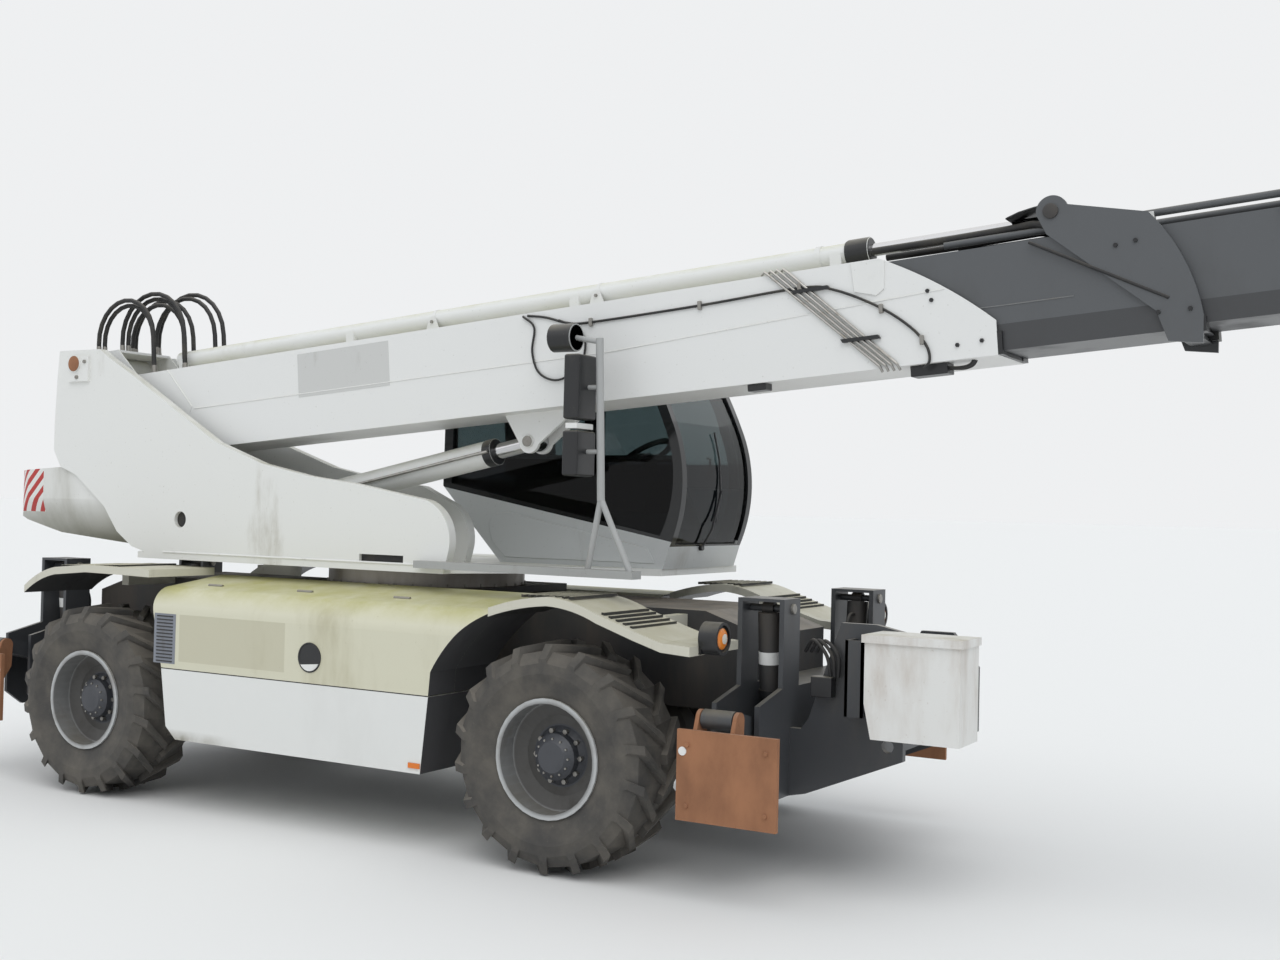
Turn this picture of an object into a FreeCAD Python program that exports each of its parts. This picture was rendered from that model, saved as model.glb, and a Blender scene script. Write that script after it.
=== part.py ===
import FreeCAD
import Part
import math
import os
from FreeCAD import Placement, Rotation, Vector

# Rotating telehandler, in millimetres and degrees. +X is forward, +Y is the machine's left and +Z is up.
# The origin is on the ground under the slewing axis, midway between the axles.

document = FreeCAD.newDocument("RotatingTelehandler")
sheet = document.addObject("Spreadsheet::Sheet", "Sizes")

# name of the size, value
SIZES = (
    ("wheelbase", 3370), ("wheel_centre_side", 975), ("kingpin_side", 760),
    ("tyre_radius", 575), ("tyre_lug_depth", 34), ("tyre_half_width", 225), ("tyre_bead_radius", 286),
    ("tyre_bead_half", 187), ("tyre_lugs", 18), ("tyre_lug_width", 54), ("tyre_lug_sweep", 17),
    ("wheel_flats", 36), ("rim_flange_radius", 298), ("rim_flange_width", 12), ("rim_barrel_wall", 14),
    ("rim_disc_offset", 40), ("rim_disc_wall", 18), ("hub_radius", 150), ("hub_nose", 150),
    ("hub_back", 105), ("spindle_radius", 105), ("knuckle_half", 60), ("knuckle_height", 380),
    ("yoke_ear", 32), ("yoke_half", 75), ("axle_tube_radius", 85), ("differential_radius", 190),
    ("differential_half", 170), ("running_gap", 0.3),
    ("pin_clearance", 0.08),
    ("frame_half_width", 400), ("frame_end", 2480), ("frame_top", 1290), ("frame_axle_bottom", 780),
    ("frame_belly_bottom", 520), ("frame_belly_end", 850), ("frame_end_top", 1180), ("ring_table", 1330),
    ("ring_table_half_length", 640), ("ring_table_half_width", 600), ("ring_outer_radius", 600),
    ("ring_inner_radius", 470), ("ring_top", 1430),
    ("body_half_width", 1200), ("box_inner", 640), ("box_wall", 20), ("box_front", 950), ("box_rear", 1080),
    ("box_bottom", 420), ("hood_seam", 820), ("hood_gap", 6), ("seam", 0.3), ("hood_shoulder", 1140), ("hood_top", 1290),
    ("hood_crown", 1345), ("hood_hinge_side", 980), ("hood_wall", 22),
    ("engine_front", 620), ("engine_length", 1250), ("engine_inner", 662), ("engine_width", 440),
    ("engine_bottom", 440), ("engine_height", 700),
    ("fender_inner", 690), ("fender_wall", 45),
    ("cross_frame_depth", 250), ("cross_plate", 25), ("cross_half_width", 950), ("cross_bottom", 430),
    ("cross_top", 960), ("tower_inner", 500), ("tower_outer", 690), ("tower_top", 1390),
    ("leg_pivot_side", 200), ("leg_pivot_height", 600), ("leg_width", 160), ("leg_depth", 110),
    ("foot_pin_side", 1110), ("foot_pin_height", 845), ("foot_length", 510), ("foot_ahead", 80), ("foot_top", 800),
    ("foot_height", 420), ("foot_plate", 25), ("leg_pin_radius", 35), ("jack_top_side", 590),
    ("jack_top_height", 1340), ("jack_eye_side", 540), ("jack_eye_height", 830), ("jack_barrel_radius", 58),
    ("jack_rod_radius", 26), ("jack_pin_radius", 18), ("jack_barrel_length", 440), ("jack_eye_width", 60), ("jack_eye_radius", 38),
    ("nose_cheek_side", 600), ("nose_plate", 40), ("nose_front", 3310), ("nose_top", 1290),
    ("left_nose_top", 1180), ("nose_carrier_front", 3600), ("lashing_eye_radius", 30),
    ("lashing_eye_height", 720), ("lashing_eye_back", 75),
    ("toolbox_rear", 3215), ("toolbox_length", 450), ("toolbox_width", 270), ("toolbox_bottom", 790),
    ("toolbox_height", 440), ("toolbox_lid", 35), ("toolbox_lid_lip", 12),
    ("lamp_radius", 78), ("lamp_depth", 95), ("lamp_side", 1050), ("lamp_height", 1215),
    ("boom_side", -440), ("datum_back", -2120), ("datum_height", 2470), ("boom_rest_angle", 4.8),
    ("hinge_along", -185), ("hinge_above", 220), ("keeper_length", 190), ("keeper_height", 165),
    ("keeper_plate", 18),
    ("boom_half_width", 215), ("boom_bottom", -410), ("boom_top", 115), ("boom_step", 20), ("boom_wall", 8),
    ("boom_tail", -275), ("boom_hump", 300), ("boom_mouth_top", 5307), ("boom_mouth_bottom", 5850), ("boom_sections", 3),
    ("collar_pitch", 1040), ("collar_plate", 18), ("section_mouth_top", 6560),
    ("section_mouth_bottom", 6725), ("section_tail", 970), ("section_tail_pitch", 700), ("pivot_pin_radius", 50), ("pivot_boss_radius", 85),
    ("turret_plate", 60), ("turret_plate_gap", 65), ("base_plate", 40), ("turret_left", 1090),
    ("tube_radius", 55), ("tube_bore", 36), ("tube_height", 205), ("tube_rear", 420), ("tube_front", 5090),
    ("tube_head_radius", 66), ("tube_head_length", 110),
    ("rod_radius", 32), ("slim_rod_radius", 17), ("slim_rod_side", 110), ("slim_rod_height", 146),
    ("lift_base_back", -1360), ("lift_base_height", 1660), ("lift_eye_along", 3170), ("lift_eye_below", -565),
    ("lift_eye_radius", 54), ("lift_eye_width", 90), ("lift_barrel_radius", 76), ("lift_rod_radius", 45),
    ("lift_gap_at_eye", 270), ("lift_neck", 115), ("lift_neck_radius", 42), ("lift_pin_radius", 40), ("lift_cheek", 22), ("lift_cheek_gap", 7),
    ("head_start", 8250), ("head_pin_along", 8650), ("head_pin_below", -640), ("head_pin_radius", 40),
    ("head_plate", 25), ("carriage_half_width", 600), ("carriage_ahead", 190), ("carriage_bar", 40),
    ("carriage_top", 190), ("carriage_bottom", -340), ("tine_width", 130), ("tine_thickness", 45),
    ("tine_length", 1200), ("tine_spread", 300),
    ("cab_right", 120), ("cab_left", 1030), ("cab_roof", 3000), ("cab_wall", 45), ("glass_wall", 6),
    ("door_rear", 560), ("door_front", 1565),
    ("door_bottom", 1560), ("door_top", 2840), ("door_gap", 6), ("door_frame", 70),
    ("seat_x", 620), ("seat_width", 500), ("seat_length", 480), ("seat_height", 2010),
    ("mirror_side", -850), ("mirror_post_x", 1770), ("mirror_tube_radius", 20), ("mirror_arm_height", 1500),
    ("hose_radius", 15), ("hose_rear", -190), ("hose_rear_pitch", 70), ("hose_front", 330),
    ("hose_front_pitch", 100), ("hose_rise", 370),
)

for row, (name, value) in enumerate(SIZES, 1):
    sheet.set(f"A{row}", name)
    sheet.set(f"B{row}", str(value))
    sheet.setAlias(f"B{row}", name)
document.recompute()


class Sizes:
    """The sheet's values, read once by their aliases."""


size = Sizes()
for name, _ in SIZES:
    setattr(size, name, float(getattr(sheet, name)))

nodes = []


def publish(name, shape, placement=None):
    """One sub-part of the document, which also names its file."""
    part = document.addObject("Part::Feature", name)
    part.Label = name
    part.Shape = shape
    if placement is not None:
        part.Placement = placement
    nodes.append(part)
    return part


def bind(part, **expressions):
    """Ties the properties of a primitive to the sheet."""
    for name, expression in expressions.items():
        part.setExpression(name, expression)
    return part


def outline(points, plane, level):
    """Closed wire through (a, b) corners. A point with a third value is the middle of an arc."""
    place = {
        "xz": lambda a, b: Vector(a, level, b),
        "yz": lambda a, b: Vector(level, a, b),
        "xy": lambda a, b: Vector(a, b, level),
    }[plane]
    count = len(points)
    edges = []
    index = 0
    while index < count:
        start = place(*points[index][:2])
        following = points[(index + 1) % count]
        if len(following) == 3:
            end = place(*points[(index + 2) % count][:2])
            edges.append(Part.Arc(start, place(*following[:2]), end).toShape())
            index += 2
        else:
            edges.append(Part.LineSegment(start, place(*following[:2])).toShape())
            index += 1
    return Part.Wire(edges)


def slab(points, plane, low, high):
    """A plate of the given outline, from low to high across its plane."""
    span = high - low
    direction = {"xz": Vector(0, span, 0), "yz": Vector(span, 0, 0), "xy": Vector(0, 0, span)}[plane]
    return Part.Face(outline(points, plane, low)).extrude(direction)


def block(x_low, x_high, y_low, y_high, z_low, z_high):
    return Part.makeBox(x_high - x_low, y_high - y_low, z_high - z_low, Vector(x_low, y_low, z_low))


def shaft(start, end, radius):
    """A round bar between two points."""
    along = Vector(end).sub(Vector(start))
    return Part.makeCylinder(radius, along.Length, Vector(start), along)


def joined(pieces):
    return pieces[0].multiFuse(pieces[1:]).removeSplitter()


def mirrored(shape):
    """The same shape on the machine's other side."""
    return shape.mirror(Vector(0, 0, 0), Vector(0, 1, 0))


def turned(points):
    """A solid of revolution about Y from an outline of (along, radius) points."""
    return Part.Face(outline(points, "yz", 0)).revolve(Vector(0, 0, 0), Vector(0, 1, 0), 360)


def skin(rings, closed):
    """A solid of flat faces through rings of equally many points, closed on itself or capped at its ends."""
    pairs = list(zip(rings, rings[1:]))
    if closed:
        pairs.append((rings[-1], rings[0]))
    faces = []
    for first, second in pairs:
        for k in range(len(first)):
            a, b, c, d = first[k - 1], first[k], second[k], second[k - 1]
            for corners in ((a, b, c), (a, c, d)):
                spread = corners[1].sub(corners[0]).cross(corners[2].sub(corners[0])).Length
                if spread > 1:
                    faces.append(Part.Face(Part.makePolygon([*corners, corners[0]])))
    if not closed:
        faces += [Part.Face(Part.makePolygon([*ring, ring[0]])) for ring in (rings[0], rings[-1])]
    shell = Part.Shell(faces)
    shell.sewShape()
    solid = Part.Solid(shell)
    if solid.Volume < 0:
        solid.reverse()
    return solid.removeSplitter()


def wheel_point(across, radius, degrees):
    angle = math.radians(degrees)
    return Vector(radius * math.sin(angle), across, radius * math.cos(angle))


# Chassis

axle_x = size.wheelbase / 2
hub_height = size.tyre_radius


def chassis_frame():
    """Welded box frame, deeper between the axles, with the table that carries the slewing ring."""
    end = size.frame_end
    belly = size.frame_belly_end
    ramp = 150
    side = [
        (-end, size.frame_axle_bottom), (-belly - ramp, size.frame_axle_bottom),
        (-belly, size.frame_belly_bottom), (belly, size.frame_belly_bottom),
        (belly + ramp, size.frame_axle_bottom), (end, size.frame_axle_bottom), (end, size.frame_end_top),
        (end - 330, size.frame_top), (330 - end, size.frame_top), (-end, size.frame_end_top),
    ]
    pieces = [
        slab(side, "xz", -size.frame_half_width, size.frame_half_width),
        block(-size.ring_table_half_length, size.ring_table_half_length, -size.ring_table_half_width,
              size.ring_table_half_width, size.frame_top - 60, size.ring_table),
    ]
    seat_half = 110
    for x in (-axle_x, axle_x):
        for y in (-330, 330):
            pieces.append(block(x - seat_half, x + seat_half, y - 60, y + 60, hub_height,
                                size.frame_axle_bottom + 1))
    shape = joined(pieces)
    for x in (-axle_x, axle_x):
        tube = shaft((x, -size.kingpin_side, hub_height), (x, size.kingpin_side, hub_height),
                     size.axle_tube_radius + size.running_gap)
        under = block(x - 2 * seat_half, x + 2 * seat_half, -size.kingpin_side, size.kingpin_side,
                      0, hub_height)
        housing = turned(casing_profile(5))
        housing.translate(Vector(x, 0, hub_height))
        shape = shape.cut(tube).cut(under).cut(housing)
    return shape


def casing_profile(margin):
    """Outline of the differential's casing about the axle's line."""
    tube = size.axle_tube_radius + margin
    half = size.differential_half + margin
    bulge = size.differential_radius + margin
    return [(-half, 0), (-half, tube - 5), (-60, bulge), (60, bulge), (half, tube - 5), (half, 0)]


def axle(x):
    """Beam with a differential housing and a yoke at each end for the kingpin."""
    yoke_face = size.kingpin_side - size.knuckle_half - 60
    casing = turned(casing_profile(0))
    casing.translate(Vector(x, 0, hub_height))
    pieces = [
        shaft((x, -yoke_face, hub_height), (x, yoke_face, hub_height), size.axle_tube_radius),
        casing,
    ]
    ear_low = size.knuckle_height / 2
    ear_high = ear_low + size.yoke_ear
    half = size.yoke_half
    for side in (-1, 1):
        wall = sorted((side * (yoke_face - 40), side * yoke_face))
        pieces.append(block(x - half, x + half, wall[0], wall[1], hub_height - ear_high,
                            hub_height + ear_high))
        for low in (-ear_high, ear_low):
            reach = sorted((side * (yoke_face - 40), side * size.kingpin_side))
            pieces.append(block(x - half, x + half, reach[0], reach[1], hub_height + low,
                                hub_height + low + size.yoke_ear))
            pieces.append(Part.makeCylinder(half, size.yoke_ear,
                                            Vector(x, side * size.kingpin_side, hub_height + low)))
    return joined(pieces)


def knuckle(x):
    """Steering knuckle of the right side: a kingpin housing with the spindle that carries the hub."""
    half = size.knuckle_height / 2 - size.running_gap
    wide = size.knuckle_half
    pin = -size.kingpin_side
    housing = block(x - wide, x + wide, pin - wide, pin + wide, hub_height - half, hub_height + half)
    spindle = shaft((x, -size.kingpin_side, hub_height),
                    (x, size.hub_back - size.wheel_centre_side, hub_height), size.spindle_radius)
    return joined([housing, spindle])


def tread_ring(across, top, root, turn, spread, side):
    """One ring of a tyre's half: four points at each bar, its two feet and its two top edges."""
    pitch = 360 / size.tyre_lugs
    foot = math.degrees(size.tyre_lug_width / 2 / size.tyre_radius) if spread is None else spread
    crest = foot * 0.85 if top > root else foot
    ring = []
    for index in range(int(size.tyre_lugs)):
        middle = index * pitch + turn + (pitch / 2 if side > 0 else 0)
        for radius, offset in ((root, -foot), (top, -crest), (top, crest), (root, foot)):
            ring.append(wheel_point(side * across, radius, middle + offset))
    return ring


def tyre():
    """Tyre about the Y axis. Slanting bars run from the middle over the shoulders, staggered on the two halves."""
    crown = size.tyre_radius
    root = crown - size.tyre_lug_depth
    wide = size.tyre_half_width
    bead = size.tyre_bead_half
    flange = size.rim_flange_radius + 1
    seat = size.tyre_bead_radius
    even = 180 / size.wheel_flats
    # across the tread, top radius, root radius, turn, half the angle of a foot where it isn't a bar's
    stations = (
        (0, crown, root, size.tyre_lug_sweep, None),
        (wide - 36, crown - 10, root - 14, 0, None),
        (wide - 2, crown - 82, crown - 104, -2, None),
        (wide, 420, 420, 0, even),
        (bead, flange, flange, 0, even),
        (bead, seat, seat, 0, even),
        (0, seat, seat, 0, even),
    )
    halves = [skin([tread_ring(*station, side) for station in stations], True) for side in (-1, 1)]
    return halves[0].fuse(halves[1]).removeSplitter()


def rim():
    """Right-hand rim about the Y axis: two flanges, a barrel, a dished disc and the hub with its nose."""
    bead = size.tyre_bead_half
    seat = size.tyre_bead_radius
    inner = seat - size.rim_barrel_wall
    flange = size.rim_flange_radius
    lip = bead + 1 + size.rim_flange_width
    disc = size.rim_disc_offset
    front = disc + size.rim_disc_wall
    hub = size.hub_radius
    # outward from the wheel's middle, radius
    profile = (
        (-(size.hub_back - size.running_gap), hub), (disc, hub), (disc, hub + 60), (disc + 30, inner),
        (-lip, inner), (-lip, flange), (-bead - 1, flange), (-bead, seat), (bead, seat), (bead + 1, flange),
        (lip, flange), (lip, inner), (front + 30, inner), (front, hub + 50), (front, hub), (front + 20, hub - 30),
        (118, hub - 34), (size.hub_nose, 76),
    )
    count = int(size.wheel_flats)
    rings = []
    for outward, radius in profile:
        rings.append([wheel_point(-outward, radius, (k + 0.5) * 360 / count) for k in range(count)])
    return skin(rings, False)


corners = (
    # name, axle's end, side: -1 right, 1 left
    ("front_right", 1, -1),
    ("front_left", 1, 1),
    ("rear_right", -1, -1),
    ("rear_left", -1, 1),
)

publish("chassis_frame", chassis_frame())
publish("axles", Part.makeCompound([axle(axle_x), axle(-axle_x)]))

right_tyre = tyre()
right_rim = rim()
for corner, end, side in corners:
    spot = Placement(Vector(end * axle_x, side * size.wheel_centre_side, hub_height), Rotation())
    pin = knuckle(end * axle_x)
    publish(f"knuckle_{corner}", pin if side < 0 else mirrored(pin))
    publish(f"tyre_{corner}", right_tyre if side < 0 else mirrored(right_tyre), spot)
    publish(f"rim_{corner}", right_rim if side < 0 else mirrored(right_rim), spot)

slew_outer = bind(document.addObject("Part::Cylinder", "slew_ring_outer"), Radius="Sizes.ring_outer_radius",
                  Height="Sizes.ring_top - Sizes.ring_table")
slew_inner = bind(document.addObject("Part::Cylinder", "slew_ring_inner"), Radius="Sizes.ring_inner_radius",
                  Height="Sizes.ring_top - Sizes.ring_table")
slew_ring = document.addObject("Part::Cut", "slew_ring")
slew_ring.Base = slew_outer
slew_ring.Tool = slew_inner
slew_ring.Label = "slew_ring"
bind(slew_ring, **{"Placement.Base.z": "Sizes.ring_table"})
nodes.append(slew_ring)

engine = bind(document.addObject("Part::Box", "engine_block"), Length="Sizes.engine_length",
              Width="Sizes.engine_width", Height="Sizes.engine_height")
engine.Label = "engine_block"
bind(engine, **{
    "Placement.Base.x": "Sizes.engine_front - Sizes.engine_length",
    "Placement.Base.y": "-Sizes.engine_inner - Sizes.engine_width",
    "Placement.Base.z": "Sizes.engine_bottom",
})
nodes.append(engine)


# Side bodies

def side_outline(inset, low, high):
    """Lengthways outline of the hood, its ends curved round the wheel arches."""
    front = size.box_front - inset
    rear = -size.box_rear + inset
    arch_low = axle_x - 705 - inset
    arch_mid = axle_x - 560 - inset
    arch_high = axle_x - 365 - inset
    return [
        (rear + 90, low), (front + 20, low), (arch_low, 950), (arch_mid, 1140, True), (arch_high, 1282),
        (arch_high, high), (rear - 30, high), (rear, 1190),
    ]


def hood_section(inset, low, crown):
    """Cross-section of the right hood from the seam to the crown, with a round shoulder."""
    outer = -size.body_half_width + inset
    top = size.hood_top - inset
    return [
        (outer, low), (outer, size.hood_shoulder), (outer + 45, top - 45, True), (outer + 150, top),
        (-size.box_inner - inset, crown - inset), (-size.box_inner - inset, low),
    ]


def hood_shell():
    wall = size.hood_wall
    low = size.hood_seam + size.hood_gap
    high = size.hood_crown + 50
    outer = slab(side_outline(0, low, high), "xz", -size.body_half_width, -size.box_inner).common(
        slab(hood_section(0, low, size.hood_crown), "yz", -size.box_rear - 100, axle_x))
    inner = slab(side_outline(wall, low - 1, high), "xz", -size.body_half_width, 0).common(
        slab(hood_section(wall, low - 1, size.hood_crown), "yz", -size.box_rear - 100, axle_x))
    return outer.cut(inner)


hood = hood_shell()
split = size.hood_hinge_side
everywhere = 4000
lid_zone = block(-everywhere, everywhere, -everywhere, -split - size.seam, 0, everywhere)
fixed_zone = block(-everywhere, everywhere, -split, 0, 0, everywhere)


def pan_outline():
    """Lengthways outline of the lower bodies, chamfered at the rear."""
    low = size.box_bottom
    rear = -size.box_rear
    return [(rear + 140, low + 70), (rear + 220, low), (size.box_front - 20, low),
            (size.box_front + 20, size.hood_seam), (rear + 90, size.hood_seam)]


def side_box_right():
    """Fixed lower pan with a chamfered bottom, and the fixed strip of the hood over it by a rear post."""
    wall = size.box_wall
    low = size.box_bottom
    seam = size.hood_seam
    hollow = [
        (-size.box_rear + 165, low + 80), (-size.box_rear + 230, low + wall), (size.box_front - 40, low + wall),
        (size.box_front, seam + 1), (-size.box_rear + 115, seam + 1),
    ]
    outer = slab(pan_outline(), "xz", -size.body_half_width, -size.box_inner)
    inner = slab(hollow, "xz", -size.body_half_width + wall, -size.box_inner - wall)
    bearers = [
        block(x - 40, x + 40, -size.box_inner - 1, -size.frame_half_width, low + 130, low + 230)
        for x in (-650, 650)
    ]
    top = hood.common(fixed_zone)
    inner_wall = block(-size.box_rear + 90, size.box_front, -size.box_inner - wall, -size.box_inner,
                       seam - 1, size.hood_crown - size.hood_wall)
    return joined([outer.cut(inner), top, inner_wall] + bearers)


publish("side_box_right", side_box_right())
publish("hood_lid", hood.common(lid_zone))


def side_box_left():
    """Tank and battery box with two access steps cut into its outer side."""
    upper = slab(side_outline(0, size.hood_seam, size.hood_crown), "xz", size.box_inner,
                 size.body_half_width)
    shape = upper.fuse(slab(pan_outline(), "xz", size.box_inner, size.body_half_width))
    section = [
        (size.box_inner, 0), (size.body_half_width, 0), (size.body_half_width, size.hood_shoulder),
        (size.body_half_width - 45, size.hood_top - 45, True), (size.body_half_width - 150, size.hood_top),
        (size.box_inner, size.hood_top),
    ]
    shape = shape.common(slab(section, "yz", -axle_x, axle_x))
    for step in (560, 860):
        shape = shape.cut(block(-180, 320, size.body_half_width - 170, size.body_half_width + 1, step,
                                step + 210))
    bearers = [
        block(x - 40, x + 40, size.frame_half_width, size.box_inner + 1, size.box_bottom + 130,
              size.box_bottom + 230)
        for x in (-650, 650)
    ]
    return joined([shape] + bearers)


publish("side_box_left", side_box_left())


def fender(lip):
    """Moulded fender: a bent deck with the thickness of its lip."""
    wall = size.fender_wall
    lower = [(x, z - wall) + tuple(more) for x, z, *more in reversed(lip)]
    return slab(list(lip) + lower, "xz", -size.body_half_width, -size.fender_inner)


front_lip = [
    (axle_x - 350, 1300), (axle_x - 190, 1345, True), (axle_x, 1372), (axle_x + 160, 1350, True),
    (axle_x + 285, 1305), (axle_x + 495, 1235), (axle_x + 645, 1190), (axle_x + 800, 1180),
]
rear_lip = [
    (-axle_x - 545, 1245), (-axle_x - 400, 1330, True), (-axle_x - 265, 1370), (-axle_x + 15, 1395),
    (-axle_x + 345, 1392), (-axle_x + 570, 1388),
]
front_fender = fender(front_lip)
rear_fender = fender(rear_lip)


def fender_with_hanger(shape, x, height):
    """A fender and the bracket that hangs it on the frame."""
    bracket = block(x - 30, x + 30, -size.fender_inner - 90, -size.frame_half_width, height - 100, height)
    return joined([shape, bracket])


right_fenders = [fender_with_hanger(front_fender, axle_x + 330, 1268),
                 fender_with_hanger(rear_fender, -axle_x - 120, 1352)]
publish("fenders", Part.makeCompound(right_fenders + [mirrored(shape) for shape in right_fenders]))


# Outriggers

cross_rear = size.frame_end
cross_front = cross_rear + size.cross_frame_depth
cross_middle = (cross_rear + cross_front) / 2


def cross_frame():
    """Front cross frame: two plates with a tower on each side, joined by a deck, pins and caps."""
    wide = size.cross_half_width
    low = size.cross_bottom
    plate = [
        (-wide, low + 90), (-wide + 120, low), (wide - 120, low), (wide, low + 90), (wide, size.cross_top - 60),
        (size.tower_outer, size.cross_top), (size.tower_outer, size.tower_top),
        (size.tower_inner, size.tower_top), (size.tower_inner, size.cross_top),
        (-size.tower_inner, size.cross_top), (-size.tower_inner, size.tower_top),
        (-size.tower_outer, size.tower_top), (-size.tower_outer, size.cross_top),
        (-wide, size.cross_top - 60),
    ]
    thick = size.cross_plate
    inside = (cross_rear + thick, cross_front - thick)
    pieces = [
        slab(plate, "yz", cross_rear, cross_rear + thick),
        slab(plate, "yz", cross_front - thick, cross_front),
        block(inside[0] - 1, inside[1] + 1, 60 - size.tower_inner, size.tower_inner - 60,
              size.cross_top - thick, size.cross_top),
    ]
    for side in (-1, 1):
        cap = sorted((side * size.tower_inner, side * size.tower_outer))
        pieces.append(block(inside[0] - 1, inside[1] + 1, cap[0], cap[1], size.tower_top - 15,
                            size.tower_top))
        for y, z, radius in ((size.leg_pivot_side, size.leg_pivot_height, size.leg_pin_radius),
                             (size.jack_top_side, size.jack_top_height, size.jack_pin_radius)):
            pieces.append(shaft((inside[0] - 1, side * y, z), (inside[1] + 1, side * y, z), radius))
    return joined(pieces)


def nose_cheek(top, front_edge):
    """Outline of a nose cheek: a sloping rear edge, a rising bottom and the given front edge."""
    return [
        (cross_front - 1, 430), (2820, 450), (size.nose_front, 655), *front_edge, (3170, top), (2990, top),
        (2830, 819), (2790, 762), (cross_front - 1, 762),
    ]


def nose():
    """Two cheeks ahead of the cross frame with plates between them. The right one carries the toolbox."""
    outer = size.nose_cheek_side
    inner = outer - size.nose_plate
    carrier = size.nose_carrier_front
    right = nose_cheek(size.nose_top, [(size.nose_front, 800), (carrier, 810), (carrier, 1200)])
    left = nose_cheek(size.left_nose_top, [(size.nose_front, 1000)])
    wall = 3150
    shape = joined([
        slab(right, "xz", -outer, -inner),
        slab(left, "xz", inner, outer),
        block(wall, wall + 25, -inner - 1, inner + 1, 640, 1000),
        block(cross_front - 1, wall + 1, -inner - 1, inner + 1, 640, 665),
    ])
    eye = (size.nose_front - size.lashing_eye_back, size.lashing_eye_height)
    return shape.cut(shaft((eye[0], -outer - 1, eye[1]), (eye[0], outer + 1, eye[1]), size.lashing_eye_radius))


front_cross = joined([cross_frame(), nose()])
rear_cross = cross_frame().mirror(Vector(0, 0, 0), Vector(1, 0, 0))
publish("outrigger_frames", Part.makeCompound([front_cross, rear_cross]))


def leg(x):
    """Right outrigger leg: a box arm from its pivot to the foot's pin, with ears for the jack."""
    half = size.leg_width / 2
    depth = size.leg_depth / 2
    pivot = (-size.leg_pivot_side, size.leg_pivot_height)
    foot = (-size.foot_pin_side, size.foot_pin_height)
    arm = [
        (pivot[0], pivot[1] + depth), (pivot[0] + depth, pivot[1], True), (pivot[0], pivot[1] - depth),
        (foot[0] + 15, foot[1] - depth + 10), (foot[0] - depth + 12, foot[1], True),
        (foot[0] + 15, foot[1] + depth - 10),
    ]
    shape = slab(arm, "yz", x - half, x + half)
    slope = (foot[1] - pivot[1]) / (foot[0] - pivot[0])
    eye = (-size.jack_eye_side, size.jack_eye_height)
    ground = pivot[1] + slope * (eye[0] - pivot[0])
    ear = [
        (eye[0] - 70, ground + 10), (eye[0] - 30, eye[1] + 20), (eye[0], eye[1] + 36, True),
        (eye[0] + 30, eye[1] + 20), (eye[0] + 80, ground - 20),
    ]
    gap = size.jack_eye_width / 2 + 7
    for low in (-gap - 20, gap):
        shape = shape.fuse(slab(ear, "yz", x + low, x + low + 20))
    bore = shaft((x - half - 1, pivot[0], pivot[1]), (x + half + 1, pivot[0], pivot[1]),
                 size.leg_pin_radius + size.pin_clearance)
    pin_bore = shaft((x - half - 1, foot[0], foot[1]), (x + half + 1, foot[0], foot[1]),
                     22 + size.pin_clearance)
    return shape.removeSplitter().cut(bore).cut(pin_bore)


def foot(x):
    """Right foot: a ground plate that hangs upright, with two ears on the pin at the arm's end."""
    half = size.foot_length / 2
    outer = -size.body_half_width
    inner = outer + size.foot_plate
    top = size.foot_top
    pin = (-size.foot_pin_side, size.foot_pin_height)
    middle = x + size.foot_ahead
    pieces = [block(middle - half, middle + half, outer, inner, top - size.foot_height, top)]
    ear = [
        (inner - 1, top - 240), (inner - 1, top - 10), (pin[0] - 42, pin[1] + 8), (pin[0], pin[1] + 44, True),
        (pin[0] + 42, pin[1] - 8), (pin[0] + 36, top - 90),
    ]
    gap = size.leg_width / 2 + 6
    for low in (-gap - 20, gap):
        pieces.append(slab(ear, "yz", x + low, x + low + 20))
    pieces.append(shaft((x - gap - 21, pin[0], pin[1]), (x + gap + 21, pin[0], pin[1]), 22))
    return joined(pieces)


jack_top = Vector(cross_middle, -size.jack_top_side, size.jack_top_height)
jack_eye = Vector(cross_middle, -size.jack_eye_side, size.jack_eye_height)
jack_along = jack_eye.sub(jack_top).normalize()


def jack_barrel():
    """Barrel of an outrigger jack, hung on the tower's pin and open for its rod."""
    half = size.jack_eye_width / 2
    start = jack_top.add(jack_along * 20)
    end = jack_top.add(jack_along * size.jack_barrel_length)
    tube = shaft(start, end, size.jack_barrel_radius)
    eye = shaft(jack_top.add(Vector(-half, 0, 0)), jack_top.add(Vector(half, 0, 0)),
                size.jack_pin_radius + 12)
    shape = joined([tube, eye])
    hole = shaft(jack_top.add(jack_along * 60), end.add(jack_along * 5),
                 size.jack_rod_radius + size.pin_clearance)
    pin = shaft(jack_top.add(Vector(-half - 1, 0, 0)), jack_top.add(Vector(half + 1, 0, 0)),
                size.jack_pin_radius + size.pin_clearance)
    return shape.cut(hole).cut(pin)


def jack_rod():
    """Rod of an outrigger jack with the eye that works on the arm's ears."""
    half = size.jack_eye_width / 2
    rod = shaft(jack_top.add(jack_along * 75), jack_eye.sub(jack_along * 20), size.jack_rod_radius)
    eye = shaft(jack_eye.add(Vector(-half, 0, 0)), jack_eye.add(Vector(half, 0, 0)), size.jack_eye_radius)
    return joined([rod, eye])


leg_shape = leg(cross_middle)
foot_shape = foot(cross_middle)
barrel_shape = jack_barrel()
rod_shape = jack_rod()
for corner, end, side in corners:
    for kind, shape in (("leg", leg_shape), ("foot", foot_shape), ("jack_barrel", barrel_shape),
                        ("jack_rod", rod_shape)):
        copy = shape if end > 0 else shape.mirror(Vector(0, 0, 0), Vector(1, 0, 0))
        publish(f"{kind}_{corner}", copy if side < 0 else mirrored(copy))


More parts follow.
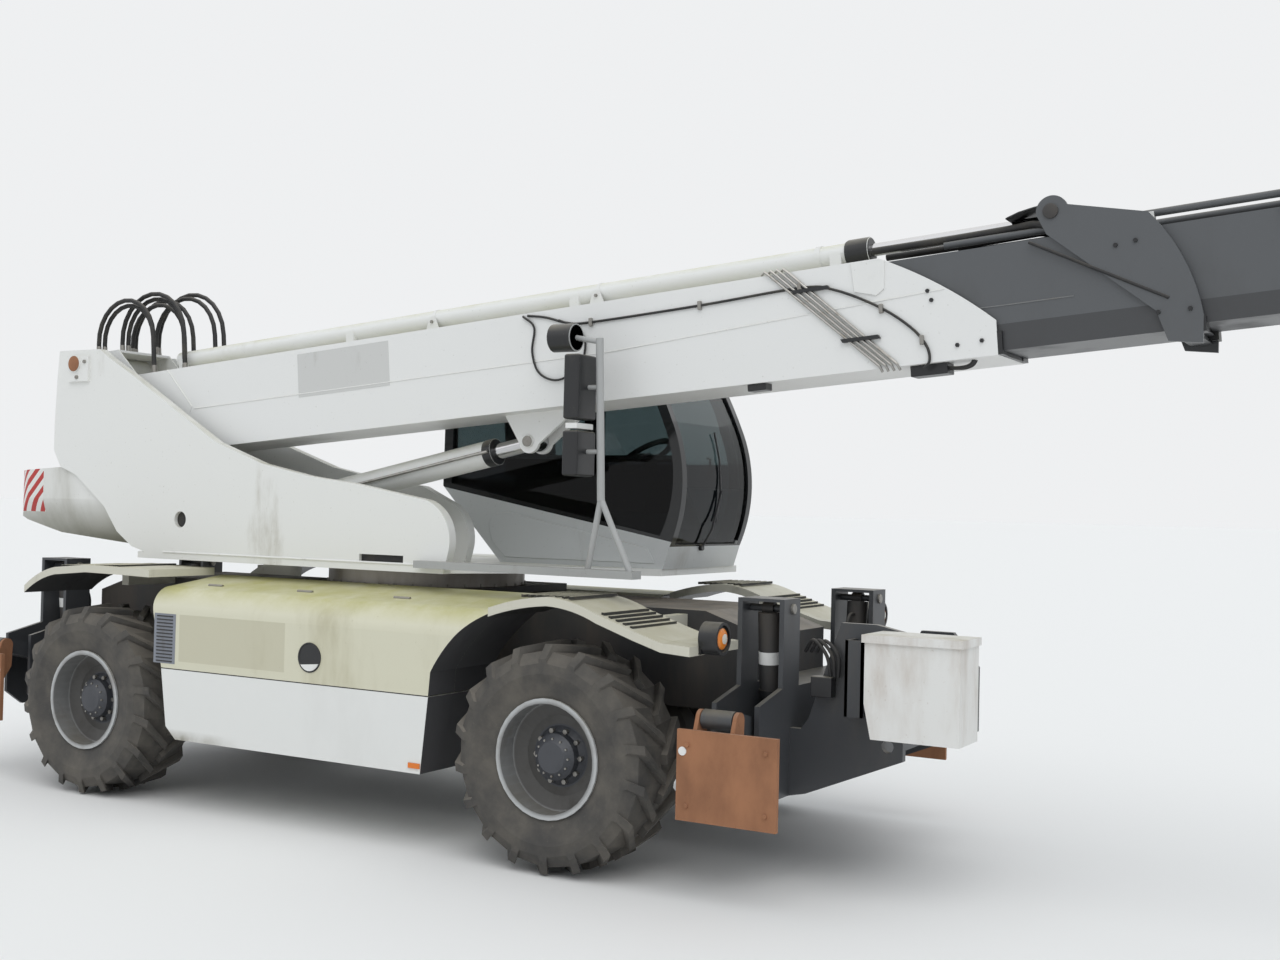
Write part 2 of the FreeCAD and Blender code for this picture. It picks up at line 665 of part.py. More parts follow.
def toolbox():
    """Sheet steel box with a chamfered rear corner below and an overlapping lid."""
    rear = size.toolbox_rear
    front = rear + size.toolbox_length
    low = size.toolbox_bottom
    high = low + size.toolbox_height
    outer = -size.nose_cheek_side - size.toolbox_width
    body = [(rear + 35, low), (front, low), (front, high), (rear, high), (rear, low + 160)]
    shape = slab(body, "xz", outer, -size.nose_cheek_side)
    lip = size.toolbox_lid_lip
    lid = block(rear - lip, front + lip, outer - lip, -size.nose_cheek_side, high - 1, high + size.toolbox_lid)
    return joined([shape, lid])


publish("toolbox", toolbox())


def lamp(x, y, height, end):
    """Round lamp with its bracket towards the fender."""
    shell = shaft((x, y, height), (x + end * size.lamp_depth, y, height), size.lamp_radius)
    glass = shaft((x + end * (size.lamp_depth - 12), y, height), (x + end * (size.lamp_depth + 1), y, height),
                  size.lamp_radius - 14)
    return shell.cut(glass)


front_end = axle_x + 800
lamp_x = front_end + 5
front_lamps = []
for side in (-1, 1):
    arm = block(front_end, lamp_x + 6, side * size.lamp_side - 60, side * size.lamp_side + 60,
                size.lamp_height - 75, size.lamp_height - 36)
    front_lamps.append(joined([lamp(lamp_x, side * size.lamp_side, size.lamp_height, 1), arm]))
rear_face = -cross_front
rear_lamps = []
for side in (-1, 1):
    rear_lamps.append(block(rear_face - 45, rear_face, side * 820 - 90, side * 820 + 90, 780, 860))
publish("lamps", Part.makeCompound(front_lamps + rear_lamps))


# Turret

def tilted(u, w):
    """Where a point of the level boom stands once the boom is turned up."""
    angle = math.radians(size.boom_rest_angle)
    return (size.datum_back + u * math.cos(angle) - w * math.sin(angle),
            size.datum_height + u * math.sin(angle) + w * math.cos(angle))


boom_right = size.boom_side - size.boom_half_width
boom_left = size.boom_side + size.boom_half_width
plate_right = (boom_right - size.turret_plate_gap - size.turret_plate, boom_right - size.turret_plate_gap)
plate_left = (boom_left + size.turret_plate_gap, boom_left + size.turret_plate_gap + size.turret_plate)
base_low = size.ring_top + size.running_gap
base_high = base_low + size.base_plate
hinge_x, hinge_z = tilted(size.hinge_along, size.hinge_above)


# lower rear edge of the turret's plates, which the counterweight is seated on
tail_edge = [(-1760, 1500), (-1900, 1590), (-2030, 1750), (-2310, 1950), (-2460, 2000)]


def turret_side(front):
    """Outline of a turret plate: high at the boom's pivot, falling in a sweep to the front."""
    return [
        (-2500, 2765), (-2110, 2765), (-2030, 2712), (-1780, 2580), (-1380, 2350), (-1040, 2160),
        (-650, 2030), (-280, 1960), (70, 1920), (front - 160, 1835), (front - 30, 1740, True), (front, 1540),
        (front - 30, base_low), (-1480, base_low), *tail_edge, (-2530, 2110), (-2530, 2290), (-2515, 2600),
    ]


def turret_frame():
    """Two side plates on a base plate, with the boom's pivot pin and the lift cylinder's pin."""
    keeper = size.keeper_plate
    deck = [
        (-1700, plate_right[0]), (650, plate_right[0]), (1050, -150), (1590, size.cab_right), (1590, size.turret_left),
        (-1500, size.turret_left), (-1700, 900),
    ]
    pieces = [
        slab(turret_side(750), "xz", *plate_right),
        slab(turret_side(420), "xz", *plate_left),
        slab(deck, "xy", base_low, base_high),
        block(-2470, -2430, plate_right[1] - 1, plate_left[0] + 1, 2060, 2300),
        shaft((hinge_x, plate_right[0] - keeper - 12, hinge_z), (hinge_x, plate_left[1] + 20, hinge_z),
              size.pivot_pin_radius),
        block(hinge_x - size.keeper_length * 0.35, hinge_x + size.keeper_length * 0.65, plate_right[0] - keeper,
              plate_right[0] + 1, hinge_z - size.keeper_height * 0.7, hinge_z + size.keeper_height * 0.3),
    ]
    lug_gap = size.lift_eye_width / 2 + size.lift_cheek_gap
    back = size.lift_base_back
    ear = [
        (back - 150, base_high - 1), (back - 70, size.lift_base_height), (back, size.lift_base_height + 75, True),
        (back + 70, size.lift_base_height), (back + 150, base_high - 1),
    ]
    for low in (-lug_gap - 30, lug_gap):
        pieces.append(slab(ear, "xz", size.boom_side + low, size.boom_side + low + 30))
    pieces.append(shaft((back, size.boom_side - lug_gap - 31, size.lift_base_height),
                        (back, size.boom_side + lug_gap + 31, size.lift_base_height), size.lift_pin_radius))
    shape = joined(pieces)
    view_hole = shaft((-1330, plate_right[0] - 1, 1680), (-1330, plate_right[1] + 1, 1680), 50)
    slot = block(120, 440, plate_right[0] - 1, plate_right[1] + 1, 1475, 1520)
    return shape.cut(view_hole).cut(slot)


def counterweight():
    """Cast weight under the turret's tail, rounded in plan at its rear corners."""
    side = [
        *tail_edge, (-2950, 1970),
        (-3005, 1870, True), (-3000, 1730), (-2870, 1645), (-2590, 1565), (-1900, 1500),
    ]
    right = plate_right[0] + 20
    left = size.turret_left - 30
    plan = [
        (-1700, right), (-2700, right), (-2945, right + 75, True), (-3020, right + 320), (-3020, left - 320),
        (-2945, left - 75, True), (-2700, left), (-1700, left),
    ]
    section = [
        (right, 2100), (right, 1790), (right + 50, 1650, True), (right + 190, 1490), (left - 190, 1490),
        (left - 50, 1650, True), (left, 1790), (left, 2100),
    ]
    return slab(side, "xz", right, left).common(slab(plan, "xy", 1400, 2100)).common(
        slab(section, "yz", -3100, -1700))


publish("turret_frame", turret_frame())
publish("counterweight", counterweight())


# Cab

def cab_side(inset):
    """Side view of the cab, with a bulging windscreen that runs up into the roof."""
    return [
        (460 + inset, base_high + inset), (1600 - inset, base_high + inset), (1640 - inset, 1600),
        (1715 - inset, 1930, True), (1640 - inset, 2320), (1463 - inset, 2674 - inset / 2, True),
        (1240 - inset / 2, size.cab_roof - inset), (130 + inset, size.cab_roof - inset),
        (20 + inset, 2880 - inset / 2), (10 + inset, 1930), (215 + inset, 1719),
    ]


def right_window():
    """Outline of the one large pane of the cab's right side."""
    return [
        (75, 1945), (1575, 1662), (1652, 1940, True), (1585, 2300), (1412, 2645, True), (1205, 2925),
        (190, 2925), (85, 2840),
    ]


def rear_quarter_window():
    return [(90, 1960), (500, 1885), (500, 2860), (170, 2860), (95, 2800)]


def screen_zone():
    return block(1100, 2000, size.cab_right + 55, size.cab_left - 55, 1610, 2890)


def rear_zone():
    return block(-100, 200, size.cab_right + 80, size.cab_left - 80, 1980, 2780)


def roof_zone():
    return block(300, 1050, size.cab_right + 130, size.cab_left - 130, 2900, 3100)


def door_outline(inset, hinge_inset):
    """Door of the left side, hinged at its rear edge, its front edge following the windscreen."""
    rear = size.door_rear + hinge_inset
    front = size.door_front - inset
    return [
        (rear, size.door_bottom + inset), (front, size.door_bottom + inset), (front + 82, 1940, True),
        (front + 15, 2300), (front - 140, 2610, True), (front - 320, size.door_top - inset),
        (rear, size.door_top - inset),
    ]


cab_outer = slab(cab_side(0), "xz", size.cab_right, size.cab_left)
cab_inner = slab(cab_side(size.cab_wall), "xz", size.cab_right + size.cab_wall,
                 size.cab_left - size.cab_wall)
right_wall = (size.cab_right - 1, size.cab_right + size.cab_wall + 1)
left_wall = (size.cab_left - size.cab_wall - 1, size.cab_left + 1)
window_cutters = [slab(right_window(), "xz", *right_wall), slab(rear_quarter_window(), "xz", *left_wall)]
window_cutters += [screen_zone(), rear_zone(), roof_zone()]
cab_shape = cab_outer.cut(cab_inner)
for cutter in window_cutters:
    cab_shape = cab_shape.cut(cutter)
cab_shape = cab_shape.cut(slab(door_outline(0, 0), "xz", *left_wall))
publish("cab_frame", cab_shape)

glass_skin = 14
skin_outer = slab(cab_side(glass_skin), "xz", size.cab_right + glass_skin, size.cab_left - glass_skin)
skin_depth = glass_skin + size.glass_wall
skin_inner = slab(cab_side(skin_depth), "xz", size.cab_right + skin_depth, size.cab_left - skin_depth)
glass = skin_outer.cut(skin_inner)
panes = []
for cutter in window_cutters:
    panes += glass.common(cutter).Solids
publish("cab_glass", Part.makeCompound(panes))

pane_inset = size.door_gap + size.door_frame
door_pane = door_outline(pane_inset, pane_inset)
door_body = slab(door_outline(size.door_gap, size.seam), "xz", size.cab_left - size.cab_wall, size.cab_left)
publish("cab_door", door_body.cut(slab(door_pane, "xz", *left_wall)))
publish("door_glass", slab(door_pane, "xz", size.cab_left - skin_depth, size.cab_left - glass_skin))

cab_middle = (size.cab_right + size.cab_left) / 2
floor_top = base_high + size.cab_wall


def seat():
    """Driver's seat: a pedestal, a cushion and a back, joined where they meet."""
    half = size.seat_width / 2
    rear = size.seat_x - size.seat_length / 2
    front = rear + size.seat_length
    pedestal = block(rear + 180, front - 60, cab_middle - half + 70, cab_middle + half - 70, floor_top,
                     size.seat_height - 120)
    cushion = block(rear, front, cab_middle - half, cab_middle + half, size.seat_height - 121,
                    size.seat_height)
    back = [
        (rear - 70, size.seat_height - 90), (rear + 70, size.seat_height - 90), (rear - 20, size.seat_height + 700),
        (rear - 110, size.seat_height + 700),
    ]
    return joined([pedestal, cushion, slab(back, "xz", cab_middle - half, cab_middle + half)])


def controls():
    """Front console with the steering column and a flat steering wheel."""
    wheel_axis = Vector(-0.53, 0, 0.85)
    wheel_middle = Vector(1220, cab_middle, 2130)
    ring = Part.makeCylinder(180, 26, wheel_middle, wheel_axis).cut(
        Part.makeCylinder(152, 28, wheel_middle.sub(wheel_axis), wheel_axis))
    console = [(1220, floor_top), (1540, floor_top), (1540, 1700), (1420, 1960), (1320, 1960), (1260, 1700)]
    pieces = [
        slab(console, "xz", cab_middle - 130, cab_middle + 130),
        shaft((1345, cab_middle, 1930), (1214, cab_middle, 2140), 32),
        ring,
        shaft((1213, cab_middle - 165, 2141), (1213, cab_middle + 165, 2141), 12),
    ]
    return joined(pieces)


publish("seat", seat())
publish("controls", controls())


def mirror_post():
    """Tube post on two legs, carried by a bar from the turret, with two mirrors and a work lamp."""
    y = size.mirror_side
    x = size.mirror_post_x
    radius = size.mirror_tube_radius
    arm = size.mirror_arm_height
    pieces = [
        slab([(560, plate_right[0]), (560, plate_right[0] - 60), (1650, y - 45), (1990, y - 45), (1990, y + 45),
              (1650, y + 45), (720, plate_right[0])], "xy", arm - 40, arm),
        shaft((x, y, 1850), (x - 30, y, 2680), radius),
        shaft((x - 70, y, arm - 5), (x, y, 1860), radius - 4),
        shaft((x + 180, y, arm - 5), (x, y, 1860), radius - 4),
        shaft((x - 15, y, 2660), (x - 180, y, 2690), radius - 6),
        shaft((x - 170, y, 2690), (x - 300, y, 2690), 72),
        block(x - 175, x - 95, y - 95, y + 75, 2270, 2590),
        block(x - 175, x - 95, y - 95, y + 75, 1980, 2200),
        shaft((x - 130, y, 2430), (x - 15, y, 2430), 12),
        shaft((x - 130, y, 2100), (x, y, 2100), 12),
    ]
    return joined(pieces)


publish("mirror_post", mirror_post())


# Boom. It is modelled level from its datum and then turned up about it to its resting angle.

datum = Vector(size.datum_back, 0, size.datum_height)
boom_tilt = Placement(Vector(0, 0, 0), Rotation(Vector(0, 1, 0), -size.boom_rest_angle), datum)


def along(points):
    """Points given from the boom's datum, forward and up, in the level boom's place."""
    return [(size.datum_back + u, size.datum_height + w, *more) for u, w, *more in points]


def boom_block(u_low, u_high, half_low, half_high, w_low, w_high):
    return block(size.datum_back + u_low, size.datum_back + u_high, size.boom_side + half_low,
                 size.boom_side + half_high, size.datum_height + w_low, size.datum_height + w_high)


def boom_shaft(u, w, y_low, y_high, radius):
    return shaft((size.datum_back + u, size.boom_side + y_low, size.datum_height + w),
                 (size.datum_back + u, size.boom_side + y_high, size.datum_height + w), radius)


def boom_pipe(u_low, u_high, y, w, radius):
    return shaft((size.datum_back + u_low, size.boom_side + y, size.datum_height + w),
                 (size.datum_back + u_high, size.boom_side + y, size.datum_height + w), radius)


def section_box(number):
    """Half-width, bottom and top of a boom section; section 0 is the base."""
    shrink = number * size.boom_step
    return size.boom_half_width - shrink, size.boom_bottom + shrink, size.boom_top - shrink


def mouth_pads(number, top_u, bottom_u):
    """Wear pads inside a section's mouth that guide the next section with a sliding gap."""
    half, bottom, top = section_box(number)
    next_half, next_bottom, next_top = section_box(number + 1)
    wall = size.boom_wall
    gap = size.running_gap
    pads = [
        boom_block(top_u - 140, top_u - 20, -120, 120, next_top + gap, top - wall + 1),
        boom_block(bottom_u - 140, bottom_u - 20, -120, 120, bottom + wall - 1, next_bottom - gap),
    ]
    middle = (top_u + bottom_u) / 2 - 100
    for side in (-1, 1):
        edge = sorted((side * (next_half + gap), side * (half - wall + 1)))
        pads.append(boom_block(middle - 120, middle, edge[0], edge[1], -330, -120))
    return pads


def boom_base():
    """Base section: a thin-walled box, open at both ends, with a raised tail for its pivot and hoses."""
    half, bottom, top = section_box(0)
    tail = size.boom_tail
    hump = size.boom_hump
    side = along([
        (tail + 215, -240), (tail, 150), (tail, 240), (tail + 45, hump), (tail + 335, hump), (tail + 505, top),
        (size.boom_mouth_top, top), (5643, -83, True),
        (size.boom_mouth_bottom, -250), (size.boom_mouth_bottom, bottom), (300, bottom),
    ])
    wall = size.boom_wall
    shell = slab(side, "xz", boom_right, boom_left).cut(
        boom_block(tail - 10, size.boom_mouth_bottom + 10, wall - half, half - wall, bottom + wall, top - wall)).cut(
        boom_block(tail - 10, tail + 510, wall - half, half - wall, top, hump + 1))
    boss = half + size.turret_plate_gap - 5
    hinge = (size.hinge_along, size.hinge_above)
    pieces = [
        shell,
        boom_shaft(*hinge, -boss, boss, size.pivot_boss_radius - 15),
        boom_block(tail + 45, tail + 335, wall - half - 1, half - wall + 1, hump - 15, hump),
    ]
    for low in (-boss, half - 1):
        pieces.append(boom_shaft(*hinge, low, low + boss - half + 1, size.pivot_boss_radius))
    pieces += mouth_pads(0, size.boom_mouth_top, size.boom_mouth_bottom)
    eye_u = size.lift_eye_along
    eye_w = size.lift_eye_below
    cheek = along([
        (eye_u - 150, bottom + 1), (eye_u - 62, eye_w - 10), (eye_u, eye_w - 66, True), (eye_u + 62, eye_w - 20),
        (eye_u + 330, bottom + 1),
    ])
    gap = size.lift_eye_width / 2 + size.lift_cheek_gap
    for low in (-gap - size.lift_cheek, gap):
        pieces.append(slab(cheek, "xz", size.boom_side + low, size.boom_side + low + size.lift_cheek))
    for low in (-gap - size.lift_cheek - 14, gap + size.lift_cheek - 1):
        pieces.append(boom_shaft(eye_u, eye_w, low, low + 15, 34))
    shape = joined(pieces)
    bore = boom_shaft(*hinge, -boss - 1, boss + 1, size.pivot_pin_radius + size.pin_clearance)
    return shape.cut(bore)


publish("boom_base", boom_base(), boom_tilt)


def extension_cylinder():
    """Long tube on the boom's top with a thicker head, open in front for its rod, on four saddles."""
    end = size.tube_front + size.tube_head_length
    pieces = [
        boom_pipe(size.tube_rear, size.tube_front + 1, 0, size.tube_height, size.tube_radius),
        boom_pipe(size.tube_front, end, 0, size.tube_height, size.tube_head_radius),
    ]
    for u in (size.tube_rear + 60, 1900, 3500, size.tube_front - 60):
        pieces.append(boom_block(u - 30, u + 30, -62, 62, size.boom_top, size.tube_height))
    shape = joined(pieces)
    hole = boom_pipe(size.tube_rear + 40, end + 1, 0, size.tube_height, size.tube_bore)
    return shape.cut(hole)


publish("extension_cylinder", extension_cylinder(), boom_tilt)


def collar(number, offset):
    """Collar of a section: two cheeks with an upper eye, and a ring round the box."""
    half, bottom, top = section_box(number)
    plate = size.collar_plate
    cheek = along([(u + offset, w, *more) for u, w, *more in (
        (6060, 200), (6126, 275, True), (6200, 225), (6540, 135), (6680, -110, True), (6735, -344),
        (6725, bottom - 70), (6585, bottom - 45), (6545, -300), (6100, 105),
    )])
    pieces = []
    for low in (-half - plate, half - 1):
        pieces.append(slab(cheek, "xz", size.boom_side + low, size.boom_side + low + plate + 1))
    mouth_top = size.section_mouth_top + offset
    mouth_bottom = size.section_mouth_bottom + offset
    band = along([(mouth_top - 110, top + 25), (mouth_top - 20, top + 25), (mouth_bottom - 20, bottom - 30),
                  (mouth_bottom - 110, bottom - 30)])
    core = boom_block(mouth_top - 300, mouth_bottom + 100, 1 - half, half - 1, bottom + 1, top - 1)
    pieces.append(slab(band, "xz", size.boom_side - half - plate, size.boom_side + half + plate).cut(core))
    pieces.append(boom_shaft(offset + 6126, size.tube_height, -half - plate, half + plate, 35))
    return pieces


def boom_section(number):
    """Inner section: a thin-walled box with its collar and the wear pads of its tail."""
    half, bottom, top = section_box(number)
    wall = size.boom_wall
    tail = size.section_tail + (number - 1) * size.section_tail_pitch
    offset = (number - 1) * size.collar_pitch
    mouth_top = size.section_mouth_top + offset
    mouth_bottom = size.section_mouth_bottom + offset
    side = along([(tail, bottom), (mouth_bottom, bottom), (mouth_top, top), (tail, top)])
    shell = slab(side, "xz", size.boom_side - half, size.boom_side + half).cut(
        boom_block(tail - 1, mouth_bottom + 1, wall - half, half - wall, bottom + wall, top - wall))
    outer_half, outer_bottom, outer_top = section_box(number - 1)
    gap = size.running_gap
    pieces = [shell]
    for side in (-1, 1):
        edge = sorted((side * (half - 1), side * (outer_half - wall - gap)))
        pieces.append(boom_block(tail + 20, tail + 140, edge[0], edge[1], -260, -60))
    pieces.append(boom_block(tail + 20, tail + 140, -120, 120, top - 1, outer_top - wall - gap))
    pieces.append(boom_block(tail + 20, tail + 140, -120, 120, outer_bottom + wall + gap, bottom + 1))
    return pieces, offset


def middle_section(number):
    pieces, offset = boom_section(number)
    pieces += collar(number, offset)
    pieces += mouth_pads(number, size.section_mouth_top + offset, size.section_mouth_bottom + offset)
    return joined(pieces)


def rod_on_pin():
    """Extension rod from inside the tube to the collar's upper pin."""
    rod = boom_pipe(size.section_tail + 130, 6100, 0, size.tube_height, size.rod_radius)
    eye = boom_shaft(6126, size.tube_height, -45, 45, 52)
    bore = boom_shaft(6126, size.tube_height, -46, 46, 35)
    return joined([rod, eye]).cut(bore)


publish("boom_section_2", middle_section(1), boom_tilt)
publish("extension_rod", rod_on_pin(), boom_tilt)


def section_three():
    """Third section with two slim rods over it, held by its collar's ring."""
    shape = middle_section(2)
    holder = size.section_mouth_top - 95 + size.collar_pitch
    pieces = [shape]
    for side in (-1, 1):
        pieces.append(boom_pipe(5600, holder + 10, side * size.slim_rod_side, size.slim_rod_height,
                                size.slim_rod_radius))
    half, bottom, top = section_box(2)
    pieces.append(boom_block(holder, holder + 60, -half, half, top + 15,
                             size.slim_rod_height + size.slim_rod_radius + 6))
    return joined(pieces)


publish("boom_section_3", section_three(), boom_tilt)

head_start = size.head_start


def section_four():
    """Last section with its drooping head and the carriage's pin."""
    pieces, offset = boom_section(3)
    half, bottom, top = section_box(3)
    pieces[0] = boom_block(size.section_tail + 2 * size.section_tail_pitch, head_start + 250, -half, half, bottom,
                           top).cut(
        boom_block(0, head_start + 251, size.boom_wall - half, half - size.boom_wall, bottom + size.boom_wall,
                   top - size.boom_wall))
    pin_u = size.head_pin_along
    pin_w = size.head_pin_below
    cheek = along([
        (head_start, top + 15), (head_start + 290, top + 15), (head_start + 420, -140, True),
        (pin_u + 85, pin_w + 60), (pin_u + 60, pin_w - 60, True), (pin_u - 80, pin_w - 20),
        (head_start + 170, bottom - 20), (head_start, bottom - 10),
    ])
    plate = size.head_plate
    for low in (-half - plate, half - 1):
        pieces.append(slab(cheek, "xz", size.boom_side + low, size.boom_side + low + plate + 1))
    pieces.append(boom_shaft(pin_u, pin_w, -half - plate - 12, half + plate + 12, size.head_pin_radius))
    pieces.append(boom_block(head_start + 180, head_start + 200, -half - 1, half + 1, bottom - 25, top))
    return joined(pieces)


publish("boom_section_4", section_four(), boom_tilt)


# Fork carriage and forks, level under the boom's head

head_x, head_z = tilted(size.head_pin_along, size.head_pin_below)


def fork_carriage():
    """Welded frame: two cross bars and two ends, with two ears on the head's pin."""
    wide = size.carriage_half_width
    back = head_x + size.carriage_ahead
    bar = size.carriage_bar
    low = head_z + size.carriage_bottom
    high = head_z + size.carriage_top
    y = size.boom_side
    pieces = [
        block(back, back + bar, y - wide, y + wide, high - 80, high),
        block(back, back + bar, y - wide, y + wide, low, low + 80),
        block(back, back + bar, y - wide, y - wide + 60, low, high),
        block(back, back + bar, y + wide - 60, y + wide, low, high),
    ]
    ear = [
        (head_x - 60, head_z + 10), (head_x, head_z + 70, True), (head_x + 60, head_z + 30), (back + 1, high - 10),
        (back + 1, low + 10), (head_x + 50, head_z - 60), (head_x - 40, head_z - 50),
    ]
    half = section_box(3)[0] - 12
    for low_side in (-half, half - 28):
        pieces.append(slab(ear, "xz", y + low_side, y + low_side + 28))
    shape = joined(pieces)
    return shape.cut(shaft((head_x, y - half - 1, head_z), (head_x, y + half + 1, head_z),
                           size.head_pin_radius + size.pin_clearance))


def tine(y):
    """Forged fork tine: an upright shank and a blade that thins towards its tip."""
    back = head_x + size.carriage_ahead + size.carriage_bar
    thick = size.tine_thickness
    low = head_z + size.carriage_bottom - 60
    side = [
        (back, low), (back + thick, low - 0), (back + size.tine_length, low), (back + size.tine_length, low + 14),
        (back + thick + 420, low + thick), (back + thick, low + thick), (back + thick, head_z + size.carriage_top + 30),
        (back, head_z + size.carriage_top + 30),
    ]
    half = size.tine_width / 2
    return slab(side, "xz", y - half, y + half)


publish("fork_carriage", fork_carriage())
publish("forks", Part.makeCompound([tine(size.boom_side - size.tine_spread),
                                    tine(size.boom_side + size.tine_spread)]))


# Lift cylinder

eye_x, eye_z = tilted(size.lift_eye_along, size.lift_eye_below)
lift_base = Vector(size.lift_base_back, size.boom_side, size.lift_base_height)
lift_eye = Vector(eye_x, size.boom_side, eye_z)
lift_along = lift_eye.sub(lift_base).normalize()
lift_length = lift_eye.sub(lift_base).Length


def lift_barrel():
    """Barrel of the lift cylinder with the eye on the turret's pin."""
    half = size.lift_eye_width / 2
    end = lift_base.add(lift_along * (lift_length - size.lift_gap_at_eye))
    pieces = [
        shaft(lift_base.add(lift_along * size.lift_neck), end, size.lift_barrel_radius),
        shaft(lift_base.add(lift_along * 40), lift_base.add(lift_along * (size.lift_neck + 1)),
              size.lift_neck_radius),
        shaft(lift_base.add(Vector(0, -half, 0)), lift_base.add(Vector(0, half, 0)), 72),
    ]
    shape = joined(pieces)
    hole = shaft(lift_base.add(lift_along * 160), end.add(lift_along * 2),
                 size.lift_rod_radius + size.pin_clearance)
    pin = shaft(lift_base.add(Vector(0, -half - 1, 0)), lift_base.add(Vector(0, half + 1, 0)),
                size.lift_pin_radius + size.pin_clearance)
    return shape.cut(hole).cut(pin)


def lift_rod():
    """Chromed rod with the eye that works between the boom's cheeks."""
    half = size.lift_eye_width / 2
    pieces = [
        shaft(lift_base.add(lift_along * 380), lift_eye.sub(lift_along * 8), size.lift_rod_radius),
        shaft(lift_eye.add(Vector(0, -half, 0)), lift_eye.add(Vector(0, half, 0)), size.lift_eye_radius),
    ]
    return joined(pieces)


publish("lift_barrel", lift_barrel())
publish("lift_rod", lift_rod())


# places of the hoses across the boom, two on each side of the extension cylinder
hose_sides = (-160, 85, -85, 160)


def hose(number):
    """One hose that loops from the raised tail to the boom's top, as a run of eight-sided lengths."""
    y = size.boom_side + hose_sides[number]
    radius = size.hose_radius
    rear = size.hose_rear + number * size.hose_rear_pitch
    front = size.hose_front + number * size.hose_front_pitch
    middle = (rear + front) / 2
    reach = (front - rear) / 2
    # along the boom, up, direction of the run
    route = [(front, size.boom_top, 90)]
    for angle in range(0, 181, 30):
        route.append((middle + reach * math.cos(math.radians(angle)),
                      size.hose_rise + reach * math.sin(math.radians(angle)), 90 + angle))
    route.append((rear, size.boom_hump, 270))
    rings = []
    for u, w, heading in route:
        lean = math.radians(heading - 90)
        ring = []
        for k in range(8):
            turn = math.radians(45 * k)
            out = radius * math.cos(turn)
            ring.append(Vector(size.datum_back + u + out * math.cos(lean), y + radius * math.sin(turn),
                               size.datum_height + w + out * math.sin(lean)))
        rings.append(ring)
    return skin(rings, False)


publish("hoses", Part.makeCompound([hose(number) for number in range(len(hose_sides))]), boom_tilt)


document.recompute()
for item in document.Objects:
    if {"Invalid", "Error"} & set(item.State):
        raise RuntimeError(f"{item.Label} failed: {item.State}")
os.makedirs("parts", exist_ok=True)
for part in nodes:
    if part.Shape.isNull() or not part.Shape.isValid():
        raise RuntimeError(f"{part.Label} has no valid shape")
for part in nodes:
    part.Shape.exportStep(os.path.join("parts", f"{part.Label}.step"))
print(f"{len(nodes)} parts written")
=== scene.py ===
import math

import bmesh
import bpy
from mathutils import Matrix, Vector


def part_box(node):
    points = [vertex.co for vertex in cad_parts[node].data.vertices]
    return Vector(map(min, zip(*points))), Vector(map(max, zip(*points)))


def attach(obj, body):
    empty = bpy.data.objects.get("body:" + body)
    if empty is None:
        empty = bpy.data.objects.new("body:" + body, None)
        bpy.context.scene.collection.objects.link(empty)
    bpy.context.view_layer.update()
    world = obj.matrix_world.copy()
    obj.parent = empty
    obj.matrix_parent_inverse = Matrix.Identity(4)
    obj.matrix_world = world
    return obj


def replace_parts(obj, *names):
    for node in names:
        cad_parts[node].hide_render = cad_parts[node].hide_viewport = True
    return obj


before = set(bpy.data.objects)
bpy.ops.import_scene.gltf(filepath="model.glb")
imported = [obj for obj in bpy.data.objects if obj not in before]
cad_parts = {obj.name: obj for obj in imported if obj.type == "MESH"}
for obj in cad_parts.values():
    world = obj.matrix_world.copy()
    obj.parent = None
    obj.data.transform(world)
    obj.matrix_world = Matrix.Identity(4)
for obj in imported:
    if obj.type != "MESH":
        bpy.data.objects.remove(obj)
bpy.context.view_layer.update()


# Studio. The camera stands where the photographer stood, right of the machine and ahead of its front axle.
# A broad soft light hangs over the machine, and the pale floor runs into a pale background.

camera_data = bpy.data.cameras.new("camera")
camera_data.sensor_width = 36
camera_data.lens = 40.78
camera = bpy.data.objects.new("camera", camera_data)
bpy.context.scene.collection.objects.link(camera)
camera_place = Vector((5.637, -7.137, 1.823))
camera_yaw, camera_pitch, camera_roll = 2.0956, 0.0187, 0.0235
forward = Vector((math.cos(camera_yaw) * math.cos(camera_pitch), math.sin(camera_yaw) * math.cos(camera_pitch),
                  math.sin(camera_pitch)))
level_right = Vector((math.sin(camera_yaw), -math.cos(camera_yaw), 0))
level_up = level_right.cross(forward)
right = level_right * math.cos(camera_roll) + level_up * math.sin(camera_roll)
up = level_up * math.cos(camera_roll) - level_right * math.sin(camera_roll)
camera.matrix_world = Matrix((
    (right.x, up.x, -forward.x, camera_place.x),
    (right.y, up.y, -forward.y, camera_place.y),
    (right.z, up.z, -forward.z, camera_place.z),
    (0, 0, 0, 1),
))
bpy.context.scene.camera = camera


def join(tree, source, target):
    """Links an output to an input; both are (node, name or number) pairs."""
    tree.links.new(source[0].outputs[source[1]], target[0].inputs[target[1]])


